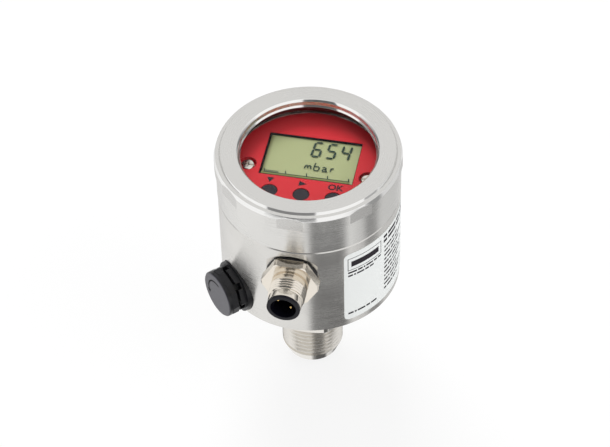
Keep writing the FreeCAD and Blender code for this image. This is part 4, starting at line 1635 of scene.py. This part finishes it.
# ------------------------------------------------------------------ label
@dataclass
class TypeLabel(SubAssembly):
    """Label film round the housing with plain print: a framed blank field and lines of bars."""

    body: Body = Body.HOUSING
    start: float = 33.0
    print_lift: float = 0.012
    chord: float = 1.0
    words: tuple[float, ...] = (3.2, 1.6, 4.4, 2.4, 0.9, 3.8, 2.0)
    word_gap: float = 0.55
    shortest_word: float = 0.6
    row_count: int = 11
    row_start: float = 6.6
    row_pitch: float = 2.0
    row_height: float = 0.85
    radius: float = field(default=0.0, init=False)
    top: float = field(default=0.0, init=False)

    # Distances from the label's left side and from its top.
    # The frame: left, right, top and foot. The block: left, right, foot and top.
    FRAME = (1.3, 15.2, 2.2, 7.85)
    FRAME_LINE = 0.25
    BLOCK = (2.6, 13.9, 6.3, 3.8)
    # Single lines: left, right, top and height
    LINES = (
        (1.4, 15.0, 8.5, 0.75),
        (1.4, 11.6, 10.0, 0.75),
        (1.4, 14.0, 28.2, 0.8),
        (16.6, 34.0, 1.4, 1.25),
        (16.6, 34.0, 3.5, 1.25),
    )
    # Columns of ragged lines: left, shortest right, and the step and spread of the right end
    COLUMNS = ((17.0, 26.0, 5, 7), (34.5, 40.0, 3, 5))

    def build(self) -> None:
        """Dresses the film and adds the print."""
        dress(LABEL_FILM, "type_label")
        box = NodeBox.of("type_label")
        self.radius = max(box.high.x, box.high.y) + self.print_lift
        self.top = box.high.z
        left, right, frame_top, frame_foot = self.FRAME
        line = self.FRAME_LINE
        draft = self._bar(left, right, frame_top + line, frame_top)
        draft.join(self._bar(left, right, frame_foot, frame_foot - line))
        draft.join(self._bar(left, left + line, frame_foot, frame_top))
        draft.join(self._bar(right - line, right, frame_foot, frame_top))
        draft.join(self._bar(*self.BLOCK))
        for place in self.LINES:
            draft.join(self._line(*place))
        for row in range(self.row_count):
            high = self.row_start + self.row_pitch * row
            for left, right, step, spread in self.COLUMNS:
                draft.join(self._line(left, right + (row * step) % spread, high, self.row_height))
        piece = make_object("label_print", draft.bmesh(), [PRINT_INK.material()], outward=False)
        self.fit(piece, "label_film")

    def _line(self, left: float, right: float, high: float, thickness: float) -> Draft:
        """A line of print: short bars as long as words, with gaps between them.

        Args:
            left: distance of its left end from the label's left side, along the film.
            right: distance of its right end.
            high: distance of its upper side from the label's top.
            thickness: height of the bars.

        Returns:
            The bars, bent round the housing.
        """
        draft = Draft()
        start, count = left, round(high * 10)
        while start < right - self.shortest_word:
            count += 1
            end = min(right, start + self.words[count % len(self.words)] * thickness)
            draft.join(self._bar(start, end, high + thickness, high))
            start = end + self.word_gap * thickness
        return draft

    def _bar(self, left: float, right: float, low: float, high: float) -> Draft:
        """A bar of print on the film.

        Args:
            left: distance of its left end from the label's left side, along the film.
            right: distance of its right end.
            low: distance of its lower side from the label's top.
            high: distance of its upper side from the label's top.

        Returns:
            The bar, bent round the housing.
        """
        steps = max(1, round((right - left) / self.chord))
        points: list[tuple[float, float, float]] = []
        for i in range(steps + 1):
            along = left + (right - left) * i / steps
            x, y, _ = wall_direction(self.start + math.degrees(along / self.radius)) * self.radius
            points += [(x, y, self.top - low), (x, y, self.top - high)]
        faces = [(2 * i, 2 * i + 2, 2 * i + 3, 2 * i + 1) for i in range(steps)]
        return Draft().add(points, faces)


# ------------------------------------------------------------------ studio
@dataclass(frozen=True)
class Shade:
    """Soft dark band on the table.

    Attributes:
        start: azimuth of its first side, from the facing one.
        end: azimuth of its other side.
        soft: half width of its soft sides in degrees.
        depth: how dark it is, 0 to 1.
        fade: distances between which it fades out, in millimetres, or None where it runs on.
    """

    start: float
    end: float
    soft: float
    depth: float
    fade: Point | None = None


@dataclass
class Studio:
    """White surroundings with a dark card in front, a shaded table, soft lamps and a pale floor.

    Attributes:
        tent: level of the light from all round.
        floor_size: side of the floor.
        floor_tone: how pale the floor is.
        floor_glow: share of plain white in the floor, where the camera sees it.
        facing: azimuth that the cards are counted from.
        card_radius: distance of the upright cards.
        card_level: brightness of the front card's upper part.
        card_foot_level: brightness of its lower part.
        side_level: brightness of the side card.
        table_radius: reach of the mirrored table.
        sky_level: brightness of the sheet overhead.
    """

    tent: float = 0.68
    floor_size: float = 6000.0
    floor_tone: float = 0.85
    floor_glow: float = 0.8
    facing: float = 12.5
    card_radius: float = 620.0
    card_level: float = 0.12
    card_foot_level: float = 0.24
    side_level: float = 0.45
    table_radius: float = 700.0
    sky_level: float = 0.87

    # Bands on the table, the last two as far as its rim
    SHADES = (
        Shade(-2.0, 40.0, 6.0, 0.76, (220.0, 320.0)),
        Shade(5.0, 37.0, 4.0, 0.88, (79.0, 88.0)),
        Shade(25.0, 37.0, 4.0, 0.84, (98.0, 110.0)),
        Shade(60.0, 82.0, 6.0, 0.68),
        Shade(44.0, 130.0, 12.0, 0.28),
    )
    # Azimuths between which the table darkens behind the object, and how dark it gets
    BACK_TURN = (95.0, 150.0)
    BACK_SHADE = 0.22

    def build(self) -> None:
        """Makes the world, the floor, what the metal mirrors, and the lamps."""
        bpy.context.scene.view_settings.view_transform = "Standard"
        self._world()
        self._floor()
        self._card("front_card", span=(-47.0, 6.0), rise=(-230.0, 760.0), level=self._front_level)
        self._card("side_card", span=(62.0, 80.0), rise=(-230.0, 130.0), level=lambda board: self.side_level)
        self._card("rear_card", span=(84.0, 276.0), rise=(20.0, 480.0), level=self._rear_level)
        self._table()
        self._sky_sheet()
        self._lamp("key_lamp", place=(-400.0, 700.0, 1200.0), size=700.0, power=12.0)
        self._lamp("fill_lamp", place=(1000.0, -300.0, 800.0), size=900.0, power=5.0)

    def _world(self) -> None:
        """Even light all round, and white where the world is seen or mirrored."""
        world = bpy.data.worlds.new("tent")
        bpy.context.scene.world = world
        world.use_nodes = True
        board = NodeBoard(world.node_tree)
        tent, white = (
            board.put("ShaderNodeBackground", {"Color": toned(WHITE, level), "Strength": 1.0}).outputs[0]
            for level in (self.tent, 1.0)
        )
        path = board.put("ShaderNodeLightPath").outputs
        seen = board.math("MAXIMUM", path["Is Camera Ray"], path["Is Glossy Ray"])
        seen = board.math("MAXIMUM", seen, path["Is Transmission Ray"])
        board.put("ShaderNodeOutputWorld", {"Surface": board.mix(seen, tent, white)})

    def _floor(self) -> None:
        """Pale floor under the object, which keeps the object's shadow."""
        half = self.floor_size / 2
        corners = [(-half, -half), (half, -half), (half, half), (-half, half)]
        mesh = flat_polygon(corners, CAD_BOX[0].z / MM)
        made = bpy.data.materials.new("pale_floor")
        made.use_nodes = True
        board = NodeBoard(made.node_tree)
        diffuse = board.put("ShaderNodeBsdfDiffuse", {"Color": toned(WHITE, self.floor_tone)}).outputs[0]
        path = board.put("ShaderNodeLightPath").outputs
        share = board.math("MULTIPLY", path["Is Camera Ray"], self.floor_glow)
        board.put("ShaderNodeOutputMaterial", {"Surface": board.mix(share, diffuse, board.glow(1.0))})
        floor = make_object("floor", mesh.bmesh(), [made], outward=False)
        floor.visible_glossy = False

    def _mirrored(self, name: str, draft: Draft, level: Callable[[NodeBoard], object]) -> None:
        """Adds a sheet of the studio that only shiny surfaces mirror.

        Args:
            name: object name.
            draft: the sheet.
            level: gives the sheet's brightness, as a number or a socket.
        """
        made = bpy.data.materials.new(name)
        made.use_nodes = True
        board = NodeBoard(made.node_tree)
        board.put("ShaderNodeOutputMaterial", {"Surface": board.glow(level(board))})
        sheet = make_object(name, draft.bmesh(), [made], outward=False)
        for ray in ("camera", "diffuse", "transmission", "shadow"):
            setattr(sheet, f"visible_{ray}", False)

    def _card(self, name: str, span: Point, rise: Point, level: Callable[[NodeBoard], object]) -> None:
        """Upright sheet bent round the object.

        Args:
            name: object name.
            span: azimuths of its sides, from the facing one.
            rise: heights of its lower and upper edge.
            level: gives its brightness.
        """
        steps = max(4, round((span[1] - span[0]) / 4))
        points: list[tuple[float, float, float]] = []
        for i in range(steps + 1):
            azimuth = self.facing + span[0] + (span[1] - span[0]) * i / steps
            x, y, _ = wall_direction(azimuth) * self.card_radius
            points += [(x, y, rise[0]), (x, y, rise[1])]
        faces = [(2 * i, 2 * i + 2, 2 * i + 3, 2 * i + 1) for i in range(steps)]
        self._mirrored(name, Draft().add(points, faces), level)

    def _front_level(self, board: NodeBoard) -> bpy.types.NodeSocket:
        """Brightness of the front sheet, grey below and darker above."""
        height = board.parts(board.object_place())["Z"]
        return board.ramp(height, 220.0 * MM, 360.0 * MM, self.card_foot_level, self.card_level)

    def _rear_level(self, board: NodeBoard) -> bpy.types.NodeSocket:
        """Brightness of the rear sheet, from dark below to white above."""
        height = board.parts(board.object_place())["Z"]
        return board.ramp(height, 20.0 * MM, 480.0 * MM, 0.03, 1.0)

    def _table(self) -> None:
        """White table with soft dark bands that run outward."""
        low = CAD_BOX[0].z / MM - 0.5
        rim = arc_points((0.0, 0.0), self.table_radius, 0.0, 352.5, 47)
        draft = flat_polygon(rim, low)
        self._mirrored("table_sheet", draft, self._table_level)

    def _table_level(self, board: NodeBoard) -> bpy.types.NodeSocket:
        """Brightness of the table by azimuth and distance.

        Args:
            board: board of the table's shader tree.

        Returns:
            The brightness, 0 to 1.
        """
        parts = board.parts(board.object_place())
        x, y = parts["X"], parts["Y"]
        distance = board.length(x, y)
        azimuth = board.math("DEGREES", board.math("ARCTAN2", x, board.math("MULTIPLY", y, -1.0)))
        azimuth = board.math("SUBTRACT", azimuth, self.facing)
        turned_back = board.ramp(board.math("ABSOLUTE", azimuth), *self.BACK_TURN)
        dark = board.math("MULTIPLY", turned_back, self.BACK_SHADE)
        for shade in self.SHADES:
            depth: object = shade.depth
            if shade.fade:
                depth = board.ramp(distance, shade.fade[0] * MM, shade.fade[1] * MM, shade.depth, 0.0)
            band = board.band(azimuth, shade.start, shade.end, shade.soft)
            dark = board.math("MAXIMUM", dark, board.math("MULTIPLY", band, depth))
        return board.math("SUBTRACT", 1.0, dark)

    def _sky_sheet(self) -> None:
        """Pale grey sheet overhead and behind."""
        corners = [(-900.0, 120.0), (900.0, 120.0), (900.0, 1500.0), (-900.0, 1500.0)]
        self._mirrored("sky_sheet", flat_polygon(corners, 700.0), lambda board: self.sky_level)

    def _lamp(self, name: str, place: tuple[float, float, float], size: float, power: float) -> None:
        """Square soft lamp aimed at the object's middle.

        Args:
            name: lamp name.
            place: place in millimetres.
            size: side in millimetres.
            power: power in watts.
        """
        data = bpy.data.lights.new(name, "AREA")
        data.size = size * MM
        data.energy = power
        lamp = bpy.data.objects.new(name, data)
        lamp.location = Vector(place) * MM
        middle = (CAD_BOX[0] + CAD_BOX[1]) / 2
        lamp.rotation_euler = (middle - lamp.location).to_track_quat("-Z", "Y").to_euler()
        lamp.visible_glossy = False
        bpy.context.scene.collection.objects.link(lamp)


@dataclass(frozen=True)
class Viewpoint:
    """Camera that looks down at the object from the front."""

    azimuth: float = 12.512
    elevation: float = 46.733
    roll: float = -1.5617
    distance: float = 816.55
    target: tuple[float, float, float] = (-1.612, -0.358, 39.881)
    lens: float = 144.749
    sensor: float = 36.0

    def build(self) -> None:
        """Makes the camera and gives it to the scene."""
        side, rise, roll = (math.radians(a) for a in (self.azimuth, self.elevation, self.roll))
        back = Vector((math.sin(side) * math.cos(rise), -math.cos(side) * math.cos(rise), math.sin(rise)))
        level = Vector((math.cos(side), math.sin(side), 0.0))
        upright = back.cross(level)
        right = level * math.cos(roll) + upright * math.sin(roll)
        up = upright * math.cos(roll) - level * math.sin(roll)
        turn = Matrix((right, up, back)).transposed().to_4x4()
        place = (Vector(self.target) + back * self.distance) * MM
        data = bpy.data.cameras.new("camera")
        data.lens = self.lens
        data.sensor_width = self.sensor
        data.clip_start = 0.05
        data.clip_end = 20.0
        camera = bpy.data.objects.new("camera", data)
        camera.matrix_world = Matrix.Translation(place) @ turn
        bpy.context.scene.collection.objects.link(camera)
        bpy.context.scene.camera = camera


def main() -> None:
    """Builds every sub-assembly, the studio and the camera in order."""
    logging.basicConfig(level=logging.INFO, format="%(name)s: %(message)s")
    Viewpoint().build()
    Studio().build()
    assemblies: list[SubAssembly] = [
        Housing(),
        ProcessStem(),
        ScrewCap(),
        DisplayPanel(),
        PushButton(Body.BUTTON_DOWN, "button_down"),
        PushButton(Body.BUTTON_NEXT, "button_next"),
        PushButton(Body.BUTTON_OK, "button_ok"),
        PlugInlet(),
        VentPlug(),
        TypeLabel(),
    ]
    for assembly in assemblies:
        log.info("building %s", type(assembly).__name__)
        assembly.build()


if __name__ == "__main__":
    main()
